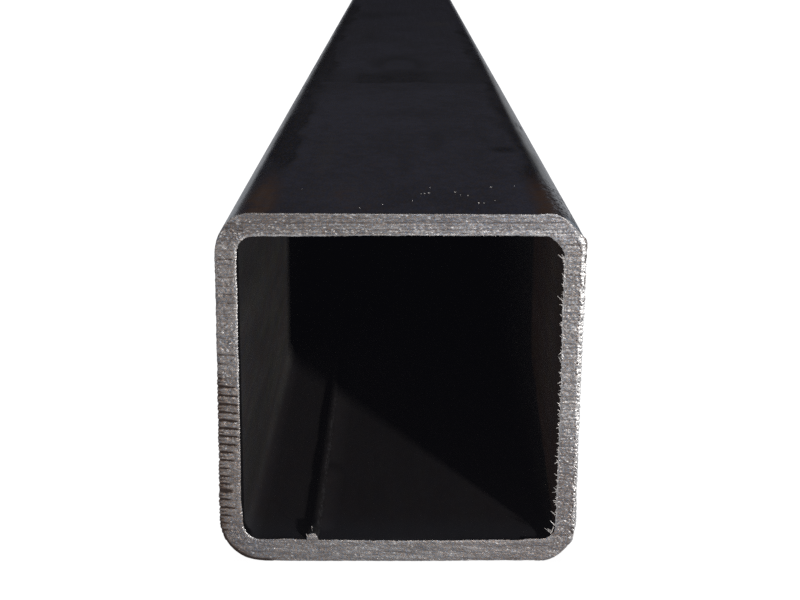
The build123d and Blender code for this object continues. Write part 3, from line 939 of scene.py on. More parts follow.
for k in range(120):  # the small ones between them
    r = np.random.default_rng(2000 + k)
    z0 = r.uniform(5.2, 44.3)
    length = r.uniform(0.10, 0.30) * (1.25 if r.random() < 0.2 else 1.0)
    ang = math.radians(r.normal(128, 28))
    root = (22.16, Y0 + r.uniform(0.05, 0.2), z0)
    tip = (22.08 + length * math.cos(ang) - 0.02, Y0 + r.uniform(-0.15, 0.1), z0 + length * math.sin(ang))
    sl.sliver(root, tip, r.uniform(0.10, 0.20), r.uniform(0.06, 0.11), twist=r.uniform(-1, 1), tipw=0.35)
for k in range(110):  # beads of burr along the top wall's lower edge
    r = np.random.default_rng(3000 + k)
    x0 = r.uniform(-20.4, 20.6)
    z0 = 47.00 + abs(r.normal(0.0, 0.16))
    root = (x0, Y0 + 0.10, z0 + 0.04)
    tip = (x0 + r.uniform(-0.16, 0.16), Y0 - r.uniform(0.02, 0.10), z0 + r.uniform(-0.03, 0.06))
    sl.sliver(root, tip, r.uniform(0.10, 0.26), r.uniform(0.07, 0.13), tipw=0.5)
for k in range(60):  # and along the bottom wall's upper one
    r = np.random.default_rng(4000 + k)
    x0 = r.uniform(-10.8, 20.4)
    z0 = 3.02 - abs(r.normal(0.0, 0.10))
    root = (x0, Y0 + 0.10, z0 - 0.04)
    tip = (x0 + r.uniform(-0.2, 0.2), Y0 - r.uniform(0.0, 0.08), z0 + r.uniform(0.0, 0.10))
    sl.sliver(root, tip, r.uniform(0.10, 0.30), r.uniform(0.06, 0.11), tipw=0.5)
for x0, z0, x1, z1, w in (  # flakes laid along the top right corner and elsewhere on the face
    (21.80, 49.52, 22.66, 48.98, 0.16), (22.95, 48.55, 23.36, 48.05, 0.14), (23.95, 47.6, 24.15, 46.9, 0.18),
    (18.86, 48.50, 19.04, 48.62, 0.22), (19.26, 47.95, 19.50, 48.15, 0.20), (20.40, 47.62, 20.86, 47.52, 0.20),
    (15.80, 47.65, 16.10, 47.45, 0.16), (-21.95, 48.60, -21.62, 48.52, 0.20), (-15.45, 49.70, -15.30, 49.76, 0.22),
    (-12.25, 47.60, -11.95, 47.85, 0.15), (9.6, 48.55, 9.8, 48.25, 0.15), (-6.35, 1.95, -5.9, 1.85, 0.14),
    (4.1, 2.4, 4.3, 2.75, 0.12), (5.1, 1.75, 5.3, 1.85, 0.16), (-24.0, 46.0, -23.85, 45.85, 0.2), (5.6, 0.45, 5.8, 0.2, 0.12),
):
    sl.sliver((x0, Y0 + 0.03, z0), (x1, Y0 - 0.03, z1), w, w * 0.5, tipw=0.5)
# the fleck on the weld's ridge
sl.sliver((-12.86, Y0 + 0.08, 3.50), (-13.12, Y0 - 0.06, 4.02), 0.12, 0.09, curl=(0.06, 0, 0.05), tipw=0.6)
sl.sliver((-12.27, Y0 + 0.9, 4.05), (-12.28, Y0 + 0.35, 4.80), 0.045, 0.04, tipw=0.8)
sl.chip((-12.27, Y0 + 0.30, 4.84), (0.13, 0.12, 0.12), 5101)
sl.chip((-12.29, Y0 + 0.28, 5.06), (0.11, 0.10, 0.10), 5102)
for k, (x0, y0, sx, sy) in enumerate([  # chips of swarf on the top face: x, distance from the cut, length and width
    (4.31, 20.0, .22, .6), (2.93, 14.9, .20, .5), (3.43, 15.0, .26, .7), (4.08, 15.5, .50, 1.0), (1.67, 9.7, .20, .5),
    (7.84, 16.4, .32, .9), (8.54, 14.1, .20, .5), (9.59, 13.5, .28, .8), (13.27, 20.6, .40, 1.1), (10.84, 8.0, .24, .6),
    (11.56, 7.9, .26, .6), (13.2, 9.8, .16, .4), (16.78, 21.6, .18, .6), (-5.57, 4.0, .20, .5), (-2.48, 6.6, .10, .3),
    (-14.31, 18.3, .12, .4),
]):
    sl.chip((x0, Y0 + y0, 50.01), (sx * 0.78, sy * 0.42, 0.10), 5000 + k)

burr_mesh = bpy.data.meshes.new("saw_burrs")
burr_mesh.from_pydata([tuple(p * 0.001) for p in sl.v], [], sl.f)
burr_mesh.update()
burrs = bpy.data.objects.new("saw_burrs", burr_mesh)
bpy.context.scene.collection.objects.link(burrs)


# ----------------------------------------------------------------------------
# materials
# ----------------------------------------------------------------------------
class Nodes:
    """Short way to write a node tree."""

    def __init__(self, name):
        self.mat = bpy.data.materials.new(name)
        self.mat.use_nodes = True
        self.nt = self.mat.node_tree
        self.nt.nodes.clear()
        self.out = self.nt.nodes.new("ShaderNodeOutputMaterial")
        self.bsdf = self.nt.nodes.new("ShaderNodeBsdfPrincipled")
        self.nt.links.new(self.bsdf.outputs[0], self.out.inputs[0])
        tc = self.nt.nodes.new("ShaderNodeTexCoord")
        self.mm = self.vec("MULTIPLY", tc.outputs["Object"], (1000, 1000, 1000))

    def link(self, value, socket):
        if hasattr(value, "is_output") or isinstance(value, bpy.types.NodeSocket):
            self.nt.links.new(value, socket)
        else:
            socket.default_value = value

    def math(self, op, a, b=0.0, c=0.0, clamp=False):
        n = self.nt.nodes.new("ShaderNodeMath")
        n.operation = op
        n.use_clamp = clamp
        self.link(a, n.inputs[0])
        self.link(b, n.inputs[1])
        self.link(c, n.inputs[2])
        return n.outputs[0]

    def vec(self, op, a, b=(0, 0, 0)):
        n = self.nt.nodes.new("ShaderNodeVectorMath")
        n.operation = op
        self.link(a, n.inputs[0])
        self.link(b, n.inputs[1])
        return n.outputs[0]

    def combine(self, x, y, z):
        n = self.nt.nodes.new("ShaderNodeCombineXYZ")
        for k, q in enumerate((x, y, z)):
            self.link(q, n.inputs[k])
        return n.outputs[0]

    def xyz(self, v):
        n = self.nt.nodes.new("ShaderNodeSeparateXYZ")
        self.link(v, n.inputs[0])
        return n.outputs

    def noise(self, scale, detail=2.0, rough=0.5, vector=None, stretch=(1, 1, 1), offset=(0, 0, 0), distort=0.0):
        """3-D noise; stretch is the size of a blob along each axis, mm."""
        v = self.vec("DIVIDE", vector if vector is not None else self.mm, stretch)
        if offset != (0, 0, 0):
            v = self.vec("ADD", v, offset)
        n = self.nt.nodes.new("ShaderNodeTexNoise")
        n.inputs["Scale"].default_value = scale
        n.inputs["Detail"].default_value = detail
        n.inputs["Roughness"].default_value = rough
        n.inputs["Distortion"].default_value = distort
        self.link(v, n.inputs["Vector"])
        return n.outputs["Fac"]

    def voronoi(self, scale, stretch=(1, 1, 1), feature="F1", out="Distance", rand=1.0, offset=(0, 0, 0)):
        v = self.vec("DIVIDE", self.mm, stretch)
        v = self.vec("ADD", v, offset)
        n = self.nt.nodes.new("ShaderNodeTexVoronoi")
        n.feature = feature
        n.inputs["Scale"].default_value = scale
        n.inputs["Randomness"].default_value = rand
        self.link(v, n.inputs["Vector"])
        return n.outputs[out]

    def voronoi_cells(self, stretch, offset):
        """Distance to the middle of the nearest cell, and a number from 0 to 1 for the cell."""
        v = self.vec("ADD", self.vec("DIVIDE", self.mm, stretch), offset)
        n = self.nt.nodes.new("ShaderNodeTexVoronoi")
        n.inputs["Scale"].default_value = 1.0
        self.link(v, n.inputs["Vector"])
        pick = self.nt.nodes.new("ShaderNodeSeparateColor")
        self.link(n.outputs["Color"], pick.inputs[0])
        return n.outputs["Distance"], pick.outputs[0]

    def ramp(self, value, a, b, x=0.0, y=1.0):
        """Smooth step of value between a and b, from x to y."""
        n = self.nt.nodes.new("ShaderNodeMapRange")
        n.interpolation_type = "SMOOTHSTEP"
        self.link(value, n.inputs["Value"])
        self.link(a, n.inputs["From Min"])
        self.link(b, n.inputs["From Max"])
        self.link(x, n.inputs["To Min"])
        self.link(y, n.inputs["To Max"])
        return n.outputs["Result"]

    def mix(self, fac, a, b):
        n = self.nt.nodes.new("ShaderNodeMix")
        n.data_type = "RGBA"
        n.clamp_factor = True
        self.link(fac, n.inputs["Factor"])
        self.link(a if not isinstance(a, tuple) else (*a, 1), n.inputs["A"])
        self.link(b if not isinstance(b, tuple) else (*b, 1), n.inputs["B"])
        return n.outputs["Result"]

    def attr(self, name):
        n = self.nt.nodes.new("ShaderNodeAttribute")
        n.attribute_type = "GEOMETRY"
        n.attribute_name = name
        return n.outputs["Fac"]

    def blob(self, x, y, cx, cy, rx, ry, soft=0.55):
        """1 in the middle of an ellipse, 0 outside it."""
        a = self.math("DIVIDE", self.math("SUBTRACT", x, cx), rx)
        b = self.math("DIVIDE", self.math("SUBTRACT", y, cy), ry)
        r = self.math("SQRT", self.math("ADD", self.math("MULTIPLY", a, a), self.math("MULTIPLY", b, b)))
        return self.ramp(r, 1.0, 1.0 - soft)

    def slab(self, v, a, b, soft):
        """1 between a and b, easing off over soft on either side."""
        return self.math("MULTIPLY", self.ramp(v, a - soft, a + soft), self.ramp(v, b + soft, b - soft))

    def bump(self, height, strength=1.0, distance=0.001):
        n = self.nt.nodes.new("ShaderNodeBump")
        n.inputs["Strength"].default_value = strength
        n.inputs["Distance"].default_value = distance
        self.link(height, n.inputs["Height"])
        return n.outputs[0]


def sawn_look(m, x, y, z):
    """Colour, roughness, metal and height of freshly sawn steel."""
    streak = m.noise(1.0, 3.0, 0.55, stretch=(1.9, 4.0, 0.24))
    band = m.noise(1.0, 2.0, 0.5, stretch=(6.0, 6.0, 0.70), offset=(11, 3, 5))
    lean = m.combine(0.0, 0.0, m.math("MULTIPLY", m.math("MULTIPLY", x, 0.22), m.ramp(z, 5.0, 3.0)))
    leaning = m.vec("ADD", m.mm, lean)
    grain = m.noise(1.0, 2.0, 0.55, vector=leaning, stretch=(0.50, 0.6, 0.20), offset=(5, 9, 2))
    round_grain = m.noise(1.0, 2.0, 0.6, vector=leaning, stretch=(0.35, 0.6, 0.29), offset=(15, 2, 7), distort=0.8)
    upright = m.math("MAXIMUM", m.ramp(z, 46.6, 44.5), 0.25)
    upright = m.math("MULTIPLY", upright, 0.75)
    grain = m.math("ADD", m.math("MULTIPLY", grain, m.math("SUBTRACT", 1.0, upright)), m.math("MULTIPLY", round_grain, upright))
    fibre_along = m.noise(1.0, 2.0, 0.5, vector=leaning, stretch=(0.78, 0.6, 0.22), offset=(31, 7, 1), distort=0.6)
    fibre_short = m.noise(1.0, 2.0, 0.5, vector=leaning, stretch=(0.44, 0.6, 0.27), offset=(3, 17, 12), distort=0.7)
    fibre = m.math("ADD", m.math("MULTIPLY", fibre_along, m.math("SUBTRACT", 1.0, upright)), m.math("MULTIPLY", fibre_short, upright))
    side = m.ramp(x, -22.0, 20.0)
    warm = m.mix(side, (0.450, 0.420, 0.405), (0.432, 0.422, 0.424))
    top_left = m.math("MULTIPLY", m.ramp(z, 45.5, 47.5), m.ramp(x, 2.0, -14.0))
    warm = m.mix(m.math("MULTIPLY", top_left, 0.38), warm, (0.20, 0.18, 0.17))
    left_up = m.math("MULTIPLY", m.ramp(x, -20.0, -21.5), m.math("MULTIPLY", m.ramp(z, 26.0, 29.0), m.ramp(z, 47.0, 45.0)))
    left_low = m.math("MULTIPLY", m.ramp(x, -21.6, -23.2, 1.0, 0.15), m.slab(z, 8.0, 27.0, 2.5))
    left_low = m.math("MULTIPLY", left_low, m.ramp(x, -19.5, -21.5))
    more = m.math("MAXIMUM", m.math("MULTIPLY", left_up, 0.80), m.math("MULTIPLY", left_low, 0.80))
    warm = m.mix(more, warm, (0.62, 0.585, 0.565))
    middle = m.math("MULTIPLY", m.slab(z, 19.5, 33.0, 3.0), 0.80)
    middle = m.math("MULTIPLY", m.math("MAXIMUM", middle, m.math("MULTIPLY", m.slab(z, 19.5, 44.0, 3.0), 0.50)), m.ramp(x, 20.8, 22.0))
    warm = m.mix(middle, warm, (0.645, 0.635, 0.635))
    outer = m.math("MULTIPLY", m.ramp(x, 22.5, 23.2), m.slab(z, 17.5, 33.0, 3.0))
    warm = m.mix(m.math("MULTIPLY", outer, 0.38), warm, (0.90, 0.885, 0.885))
    inner_right = m.math("MULTIPLY", m.ramp(z, 48.7, 47.9), m.math("MULTIPLY", m.ramp(z, 46.6, 47.0), m.ramp(x, 2.0, 10.0)))
    warm = m.mix(m.math("MULTIPLY", inner_right, 0.26), warm, (0.85, 0.84, 0.85))
    corner = m.blob(x, z, 22.8, 46.6, 6.5, 5.0, 0.9)
    warm = m.mix(m.math("MULTIPLY", corner, 0.70), warm, (0.70, 0.69, 0.70))
    foot = m.math("MULTIPLY", m.ramp(z, 4.2, 2.8), m.ramp(x, -20.0, -4.0, 0.18, 0.98))
    foot = m.math("MULTIPLY", foot, m.ramp(x, 8.0, 18.0, 1.0, 0.62))
    warm = m.mix(foot, warm, (0.615, 0.598, 0.592))
    dark = m.mix(0.60, warm, (0.10, 0.078, 0.066))
    t = m.math("ADD", m.math("MULTIPLY", streak, 0.6), m.math("MULTIPLY", band, 0.4))
    colour = m.mix(m.ramp(t, 0.40, 0.58), dark, warm)
    colour = m.mix(m.math("MULTIPLY", m.ramp(grain, 0.56, 0.38), m.ramp(x, 18.0, 21.5, 0.88, 1.0)), colour, dark)
    colour = m.mix(m.ramp(fibre, 0.53, 0.70, 0.0, 0.85), colour, (0.74, 0.715, 0.70))
    # the slight blues and browns of a cut that has started to oxidise
    hue = m.noise(1.0, 1.0, 0.5, stretch=(0.30, 0.5, 0.22), offset=(8, 1, 23))
    colour = m.mix(m.ramp(hue, 0.50, 0.66, 0.0, 0.56), colour, (0.34, 0.42, 0.56))
    colour = m.mix(m.ramp(hue, 0.50, 0.34, 0.0, 0.48), colour, (0.54, 0.40, 0.32))
    fleck = m.noise(1.0, 0.0, 0.5, stretch=(0.62, 0.5, 0.16), offset=(18, 11, 3))
    colour = m.mix(m.ramp(fleck, 0.60, 0.74, 0.0, 0.30), colour, (0.52, 0.36, 0.27))
    # warmer away from the top wall, most of all by the deep marks
    colour = m.mix(m.ramp(z, 46.8, 45.6), colour, m.vec("MULTIPLY", colour, (1.004, 0.994, 0.985)))
    by_marks = m.math("MULTIPLY", m.ramp(x, -20.5, -22.5), m.ramp(z, 28.0, 24.0))
    colour = m.mix(by_marks, colour, m.vec("MULTIPLY", colour, (1.02, 0.985, 0.955)))
    colour = m.mix(m.math("MULTIPLY", m.ramp(z, 46.0, 47.2), m.ramp(x, -6.0, 4.0)), colour, m.vec("MULTIPLY", colour, (0.985, 1.0, 1.035)))
    colour = m.mix(m.math("MULTIPLY", m.ramp(x, 0.0, 16.0), m.ramp(z, 19.0, 12.0)), colour, m.vec("MULTIPLY", colour, (0.985, 0.955, 0.942)))
    # painted glints: cells painted near-white, thickest along the top and the right
    cell = m.voronoi_cells((0.50, 0.60, 0.30), (3.3, 7.7, 1.9))
    chance = m.math("MULTIPLY", m.ramp(z, 45.8, 46.9), m.ramp(z, 48.7, 47.4, 0.12, 0.84))
    chance = m.math("MULTIPLY", chance, m.ramp(x, -22.0, 10.0, 0.55, 1.0))
    chance = m.math("MAXIMUM", chance, m.ramp(x, 21.0, 22.4, 0.0, 0.30))
    chance = m.math("MAXIMUM", chance, m.ramp(z, 3.8, 2.8, 0.065, 0.115))
    lit = m.math("LESS_THAN", cell[1], chance)
    crumb = m.math("MULTIPLY", lit, m.ramp(cell[0], 0.40, 0.22))
    colour = m.mix(m.math("MULTIPLY", crumb, 0.95), colour, (0.99, 0.965, 0.95))
    rough = m.math("ADD", m.ramp(grain, 0.3, 0.7, 0.56, 0.48), m.ramp(fibre, 0.55, 0.72, 0.0, -0.06))
    height = m.math("ADD", m.math("MULTIPLY", streak, 0.045), m.math("MULTIPLY", grain, 0.050))
    height = m.math("ADD", height, m.math("MULTIPLY", fibre, 0.040))
    return colour, rough, height


def steel_ends():
    m = Nodes("sawn_steel")
    x, y, z = m.xyz(m.mm)
    colour, rough, height = sawn_look(m, x, y, z)
    brown = m.attr("brown")
    soil = m.noise(1.0, 2.0, 0.6, stretch=(0.5, 1.0, 0.35), offset=(3, 3, 8))
    dirt_and_shade_tone = m.mix(soil, (0.013, 0.007, 0.005), (0.048, 0.025, 0.016))
    # a thin film of the same brown tans the steel
    film = m.vec("MULTIPLY", colour, (0.93, 0.84, 0.77))
    spread = m.math("MAXIMUM", m.math("MULTIPLY", m.ramp(x, -20.0, -22.0), m.ramp(z, 31.0, 26.0)), 0.30)
    colour = m.mix(m.math("MULTIPLY", m.ramp(brown, 0.01, 0.30), spread), colour, film)
    # bluer and darker in the bottom left corner
    colour = m.mix(m.blob(x, z, -21.5, 3.0, 5.5, 5.0, 0.7), colour, m.vec("MULTIPLY", colour, (0.88, 0.905, 0.945)))
    # the brown attribute: dirt in the saw's marks, and painted shade along the bottom left edge and the top wall's
    # lines
    dirt_and_shade = m.math("MULTIPLY", m.ramp(brown, 0.10, 0.72), 0.96)
    # burnished steel and painted highlights: painted near-white and made a little smoother
    burnish_and_highlight = m.attr("burnish_and_highlight")
    colour = m.mix(m.math("MULTIPLY", burnish_and_highlight, 0.96), colour, (0.985, 0.96, 0.945))
    colour = m.mix(dirt_and_shade, colour, dirt_and_shade_tone)
    rough = m.math("SUBTRACT", rough, m.math("MULTIPLY", burnish_and_highlight, 0.12))
    m.link(colour, m.bsdf.inputs["Base Color"])
    m.link(m.math("SUBTRACT", 0.97, m.math("MULTIPLY", dirt_and_shade, 0.85)), m.bsdf.inputs["Metallic"])
    m.link(m.math("MAXIMUM", rough, m.math("MULTIPLY", dirt_and_shade, 0.75)), m.bsdf.inputs["Roughness"])
    m.link(m.bump(height, 1.0, 0.001), m.bsdf.inputs["Normal"])
    return m.mat


def scale_outside():
    m = Nodes("mill_scale")
    x, y, z = m.xyz(m.mm)
    d = m.math("ADD", y, HALF_LENGTH)  # distance from the cut that is looked at
    fine = m.noise(1.0, 3.0, 0.6, stretch=(0.7, 34.0, 0.7), offset=(4, 4, 4))
    cloud = m.noise(1.0, 4.0, 0.55, stretch=(11.0, 26.0, 11.0), offset=(7, 1, 3))
    mottle = m.noise(1.0, 3.0, 0.6, stretch=(1.6, 2.6, 1.6), offset=(2, 8, 6))
    pepper = m.noise(1.0, 1.0, 0.5, stretch=(0.22, 0.55, 0.22), offset=(9, 4, 1))
    light = m.math("ADD", m.math("MULTIPLY", cloud, 0.60), m.math("MULTIPLY", mottle, 0.40))
    base = m.mix(m.ramp(light, 0.36, 0.64), (0.0255, 0.0225, 0.0335), (0.0515, 0.0490, 0.0760))
    # bands across the top that the rolls and the stack left: a dull one, its lighter neighbour
    edge = m.math("MULTIPLY", m.math("SUBTRACT", cloud, 0.5), 30.0)
    db = m.math("ADD", d, edge)
    across = m.math("MAXIMUM", m.ramp(x, -12.5, -9.5, 0.50, 1.0), m.ramp(x, -15.5, -18.0, 0.50, 1.0))
    across = m.math("MULTIPLY", across, m.ramp(x, 4.0, 10.0, 1.0, 0.62))
    dull = m.math("MULTIPLY", m.math("MULTIPLY", m.ramp(db, 157.5, 161.5), m.ramp(db, 206.0, 178.0)), across)
    ring = m.math("MULTIPLY", m.blob(x, d, -0.5, 205.0, 10.0, 38.0, 0.55), m.ramp(d, 184.0, 200.0))
    ring = m.math("MULTIPLY", ring, m.math("SUBTRACT", 1.0, m.math("MULTIPLY", m.blob(x, d, -0.5, 202.0, 5.6, 20.0, 0.5), 0.75)))
    dull = m.math("MAXIMUM", dull, m.math("MULTIPLY", ring, 0.85))
    loop = m.math("SUBTRACT", m.blob(x, d, 16.4, 82.0, 3.5, 25.0, 0.30), m.blob(x, d, 16.4, 82.0, 2.5, 17.0, 0.30))
    dull = m.math("MAXIMUM", dull, m.math("MULTIPLY", m.math("MAXIMUM", loop, 0.0), 0.32))
    for cx, cy, rx, ry, much in (
        (-12.0, 402.0, 12.0, 36.0, .75), (-3.0, 412.0, 9.0, 26.0, .6), (-10.0, 300.0, 5.5, 34.0, .45), (-17.5, 240.0, 3.5, 50.0, .55),
        (-3.5, 172.0, 8.0, 17.0, 1.2), (6.1, 68.0, 2.4, 22.0, .50), (0.6, 40.0, 2.4, 15.0, .40), (14.5, 176.0, 5.0, 10.0, .6),
        (10.0, 120.0, 5.0, 8.0, .22), (-12.0, 128.0, 4.0, 7.0, .25), (2.0, 330.0, 10.0, 14.0, .25),
    ):
        dull = m.math("MAXIMUM", dull, m.math("MULTIPLY", m.blob(x, d, cx, cy, rx, ry, 0.9), much))
    dull = m.math("MULTIPLY", dull, m.ramp(mottle, 0.30, 0.70, 0.75, 1.05))
    # the duller strips beside the top's rounded edges
    wander = m.math("MULTIPLY", m.math("SUBTRACT", m.noise(1.0, 3.0, 0.6, stretch=(12.0, 34.0, 12.0), offset=(5, 2, 2)), 0.5), 10.0)
    xl = m.math("ADD", x, wander)
    beside = m.math("MULTIPLY", m.slab(xl, -22.9, -18.3, 1.4), m.slab(d, 34.0, 470.0, 22.0))
    beside = m.math("MULTIPLY", beside, 1.5)
    beside = m.math("MAXIMUM", beside, m.math("MULTIPLY", m.slab(xl, 19.2, 22.6, 1.2), m.slab(d, 18.0, 330.0, 20.0)))
    beside = m.math("MULTIPLY", beside, m.ramp(cloud, 0.36, 0.58, 0.55, 1.1))
    beside = m.math("MAXIMUM", beside, m.blob(x, d, 17.5, 57.0, 4.2, 6.0, 0.8))
    on_top = m.ramp(z, 47.0, 49.6)
    dull = m.math("MULTIPLY", m.math("MAXIMUM", dull, beside), m.math("ADD", m.math("MULTIPLY", on_top, 0.6), 0.4), 0.0)
    base = m.mix(m.math("MULTIPLY", dull, 0.97, 0.0, True), base, (0.0065, 0.0056, 0.0062))
    pale = m.math("MULTIPLY", m.blob(x, d, 12.5, 357.0, 8.0, 18.0, 0.9), on_top)
    pale = m.math("MAXIMUM", pale, m.math("MULTIPLY", m.math("MULTIPLY", m.blob(x, d, -12.3, 52.0, 2.4, 34.0, 0.9), on_top), 0.55))
    base = m.mix(m.math("MULTIPLY", pale, 0.7), base, (0.064, 0.055, 0.056))
    near_left = m.math("MULTIPLY", m.blob(x, d, -8.0, 14.0, 9.0, 22.0, 0.9), on_top)
    base = m.mix(m.math("MULTIPLY", near_left, 0.45), base, (0.064, 0.058, 0.078))
    base = m.mix(m.ramp(fine, 0.60, 0.74, 0.0, 0.10), base, (0.055, 0.055, 0.066))
    base = m.mix(m.ramp(pepper, 0.50, 0.70, 0.0, 0.45), base, (0.066, 0.063, 0.085))
    base = m.mix(m.ramp(pepper, 0.50, 0.32, 0.0, 0.45), base, (0.012, 0.010, 0.010))
    tint = m.noise(1.0, 1.0, 0.5, stretch=(0.45, 2.2, 0.45), offset=(29, 14, 11))
    base = m.mix(m.ramp(tint, 0.52, 0.68, 0.0, 0.45), base, (0.022, 0.026, 0.062))
    base = m.mix(m.ramp(tint, 0.48, 0.32, 0.0, 0.45), base, (0.050, 0.030, 0.022))
    # rust: a tint at the corners by the cut, a few thin marks elsewhere
    near = m.ramp(m.math("ABSOLUTE", y), 500.0, 430.0, 1.0, 0.18)
    rust_n = m.noise(1.0, 4.0, 0.65, stretch=(5.0, 12.0, 5.0), offset=(21, 5, 9))
    rust = m.math("MULTIPLY", m.ramp(rust_n, 0.58, 0.78), near)
    left = m.math("MULTIPLY", m.blob(x, d, -19.6, 5.0, 3.6, 34.0, 0.75), m.ramp(rust_n, 0.26, 0.52))
    right = m.math("MULTIPLY", m.blob(x, d, 20.2, 6.0, 2.8, 34.0, 0.75), m.ramp(rust_n, 0.22, 0.50))
    rust = m.math("MAXIMUM", rust, m.math("MULTIPLY", m.math("MAXIMUM", left, right), 1.25), 0.0)
    base = m.mix(m.math("MULTIPLY", rust, m.ramp(mottle, 0.36, 0.60, 0.45, 0.95)), base, (0.060, 0.026, 0.012))
    # painted reflection: a paler blue along the rounded top left edge by the cut
    top_left_edge_reflection = m.math("MULTIPLY", m.math("MULTIPLY", m.ramp(x, -21.8, -23.2), m.ramp(z, 43.0, 45.0)), m.ramp(d, 75.0, 8.0))
    base = m.mix(m.math("MULTIPLY", top_left_edge_reflection, m.ramp(mottle, 0.34, 0.58, 0.35, 0.75)), base, (0.115, 0.150, 0.190))
    # chafed black and blue where the top right edge meets the cut
    chafe = m.math("MULTIPLY", m.math("MULTIPLY", m.ramp(x, 20.4, 21.4), m.ramp(z, 46.0, 47.5)), m.ramp(d, 40.0, 14.0))
    chips = m.noise(1.0, 2.0, 0.6, stretch=(0.55, 1.7, 0.55), offset=(6, 26, 2))
    base = m.mix(m.math("MULTIPLY", chafe, m.ramp(chips, 0.50, 0.40, 0.0, 0.80)), base, (0.006, 0.006, 0.009))
    base = m.mix(m.math("MULTIPLY", chafe, m.ramp(chips, 0.54, 0.64, 0.0, 0.55)), base, (0.26, 0.31, 0.38))
    # dark scuffs along the rounded edges
    scuff_n = m.noise(1.0, 2.0, 0.5, stretch=(0.8, 16.0, 0.8), offset=(2, 31, 12))
    scuff = m.math("MULTIPLY", m.ramp(scuff_n, 0.62, 0.70), m.ramp(z, 49.7, 48.6, 0.15, 1.0))
    base = m.mix(m.math("MULTIPLY", scuff, 0.6), base, (0.012, 0.008, 0.006))
    worn = m.math("MULTIPLY", m.attr("worn"), m.ramp(pepper, 0.25, 0.60, 0.70, 1.0))
    base = m.mix(worn, base, (0.36, 0.41, 0.47))
    bare = m.attr("bare")
    bare_n = m.math("ADD", bare, m.math("MULTIPLY", m.math("SUBTRACT", m.noise(1.0, 2.0, 0.6, stretch=(0.5, 0.5, 0.5)), 0.5), 0.5))
    shown = m.ramp(bare_n, 0.55, 0.85)
    steel = m.mix(m.noise(1.0, 2.0, 0.5, stretch=(0.5, 0.3, 0.5), offset=(1, 2, 3)), (0.16, 0.13, 0.11), (0.42, 0.40, 0.385))
    colour = m.mix(shown, base, steel)
    rough = m.math("ADD", m.ramp(cloud, 0.3, 0.7, 0.150, 0.105), m.ramp(fine, 0.4, 0.7, 0.0, 0.035))
    rough = m.math("ADD", rough, m.math("MULTIPLY", rust, 0.14))
    rough = m.math("ADD", rough, m.math("MULTIPLY", scuff, 0.22))
    rough = m.math("ADD", rough, m.math("MULTIPLY", m.math("MULTIPLY", chafe, m.ramp(chips, 0.50, 0.40)), 0.25))
    rough = m.math("ADD", rough, m.math("MULTIPLY", m.math("MAXIMUM", shown, worn), 0.28))
    m.link(colour, m.bsdf.inputs["Base Color"])
    m.link(m.math("MULTIPLY", shown, 0.95), m.bsdf.inputs["Metallic"])
    m.link(rough, m.bsdf.inputs["Roughness"])
    m.link(m.math("SUBTRACT", 0.5, m.math("MULTIPLY", m.math("MINIMUM", dull, 1.0), 0.46)), m.bsdf.inputs["Specular IOR Level"])
    height = m.math("ADD", m.math("MULTIPLY", fine, 0.003), m.math("MULTIPLY", mottle, 0.002))
    m.link(m.bump(height, 1.0, 0.001), m.bsdf.inputs["Normal"])
    return m.mat


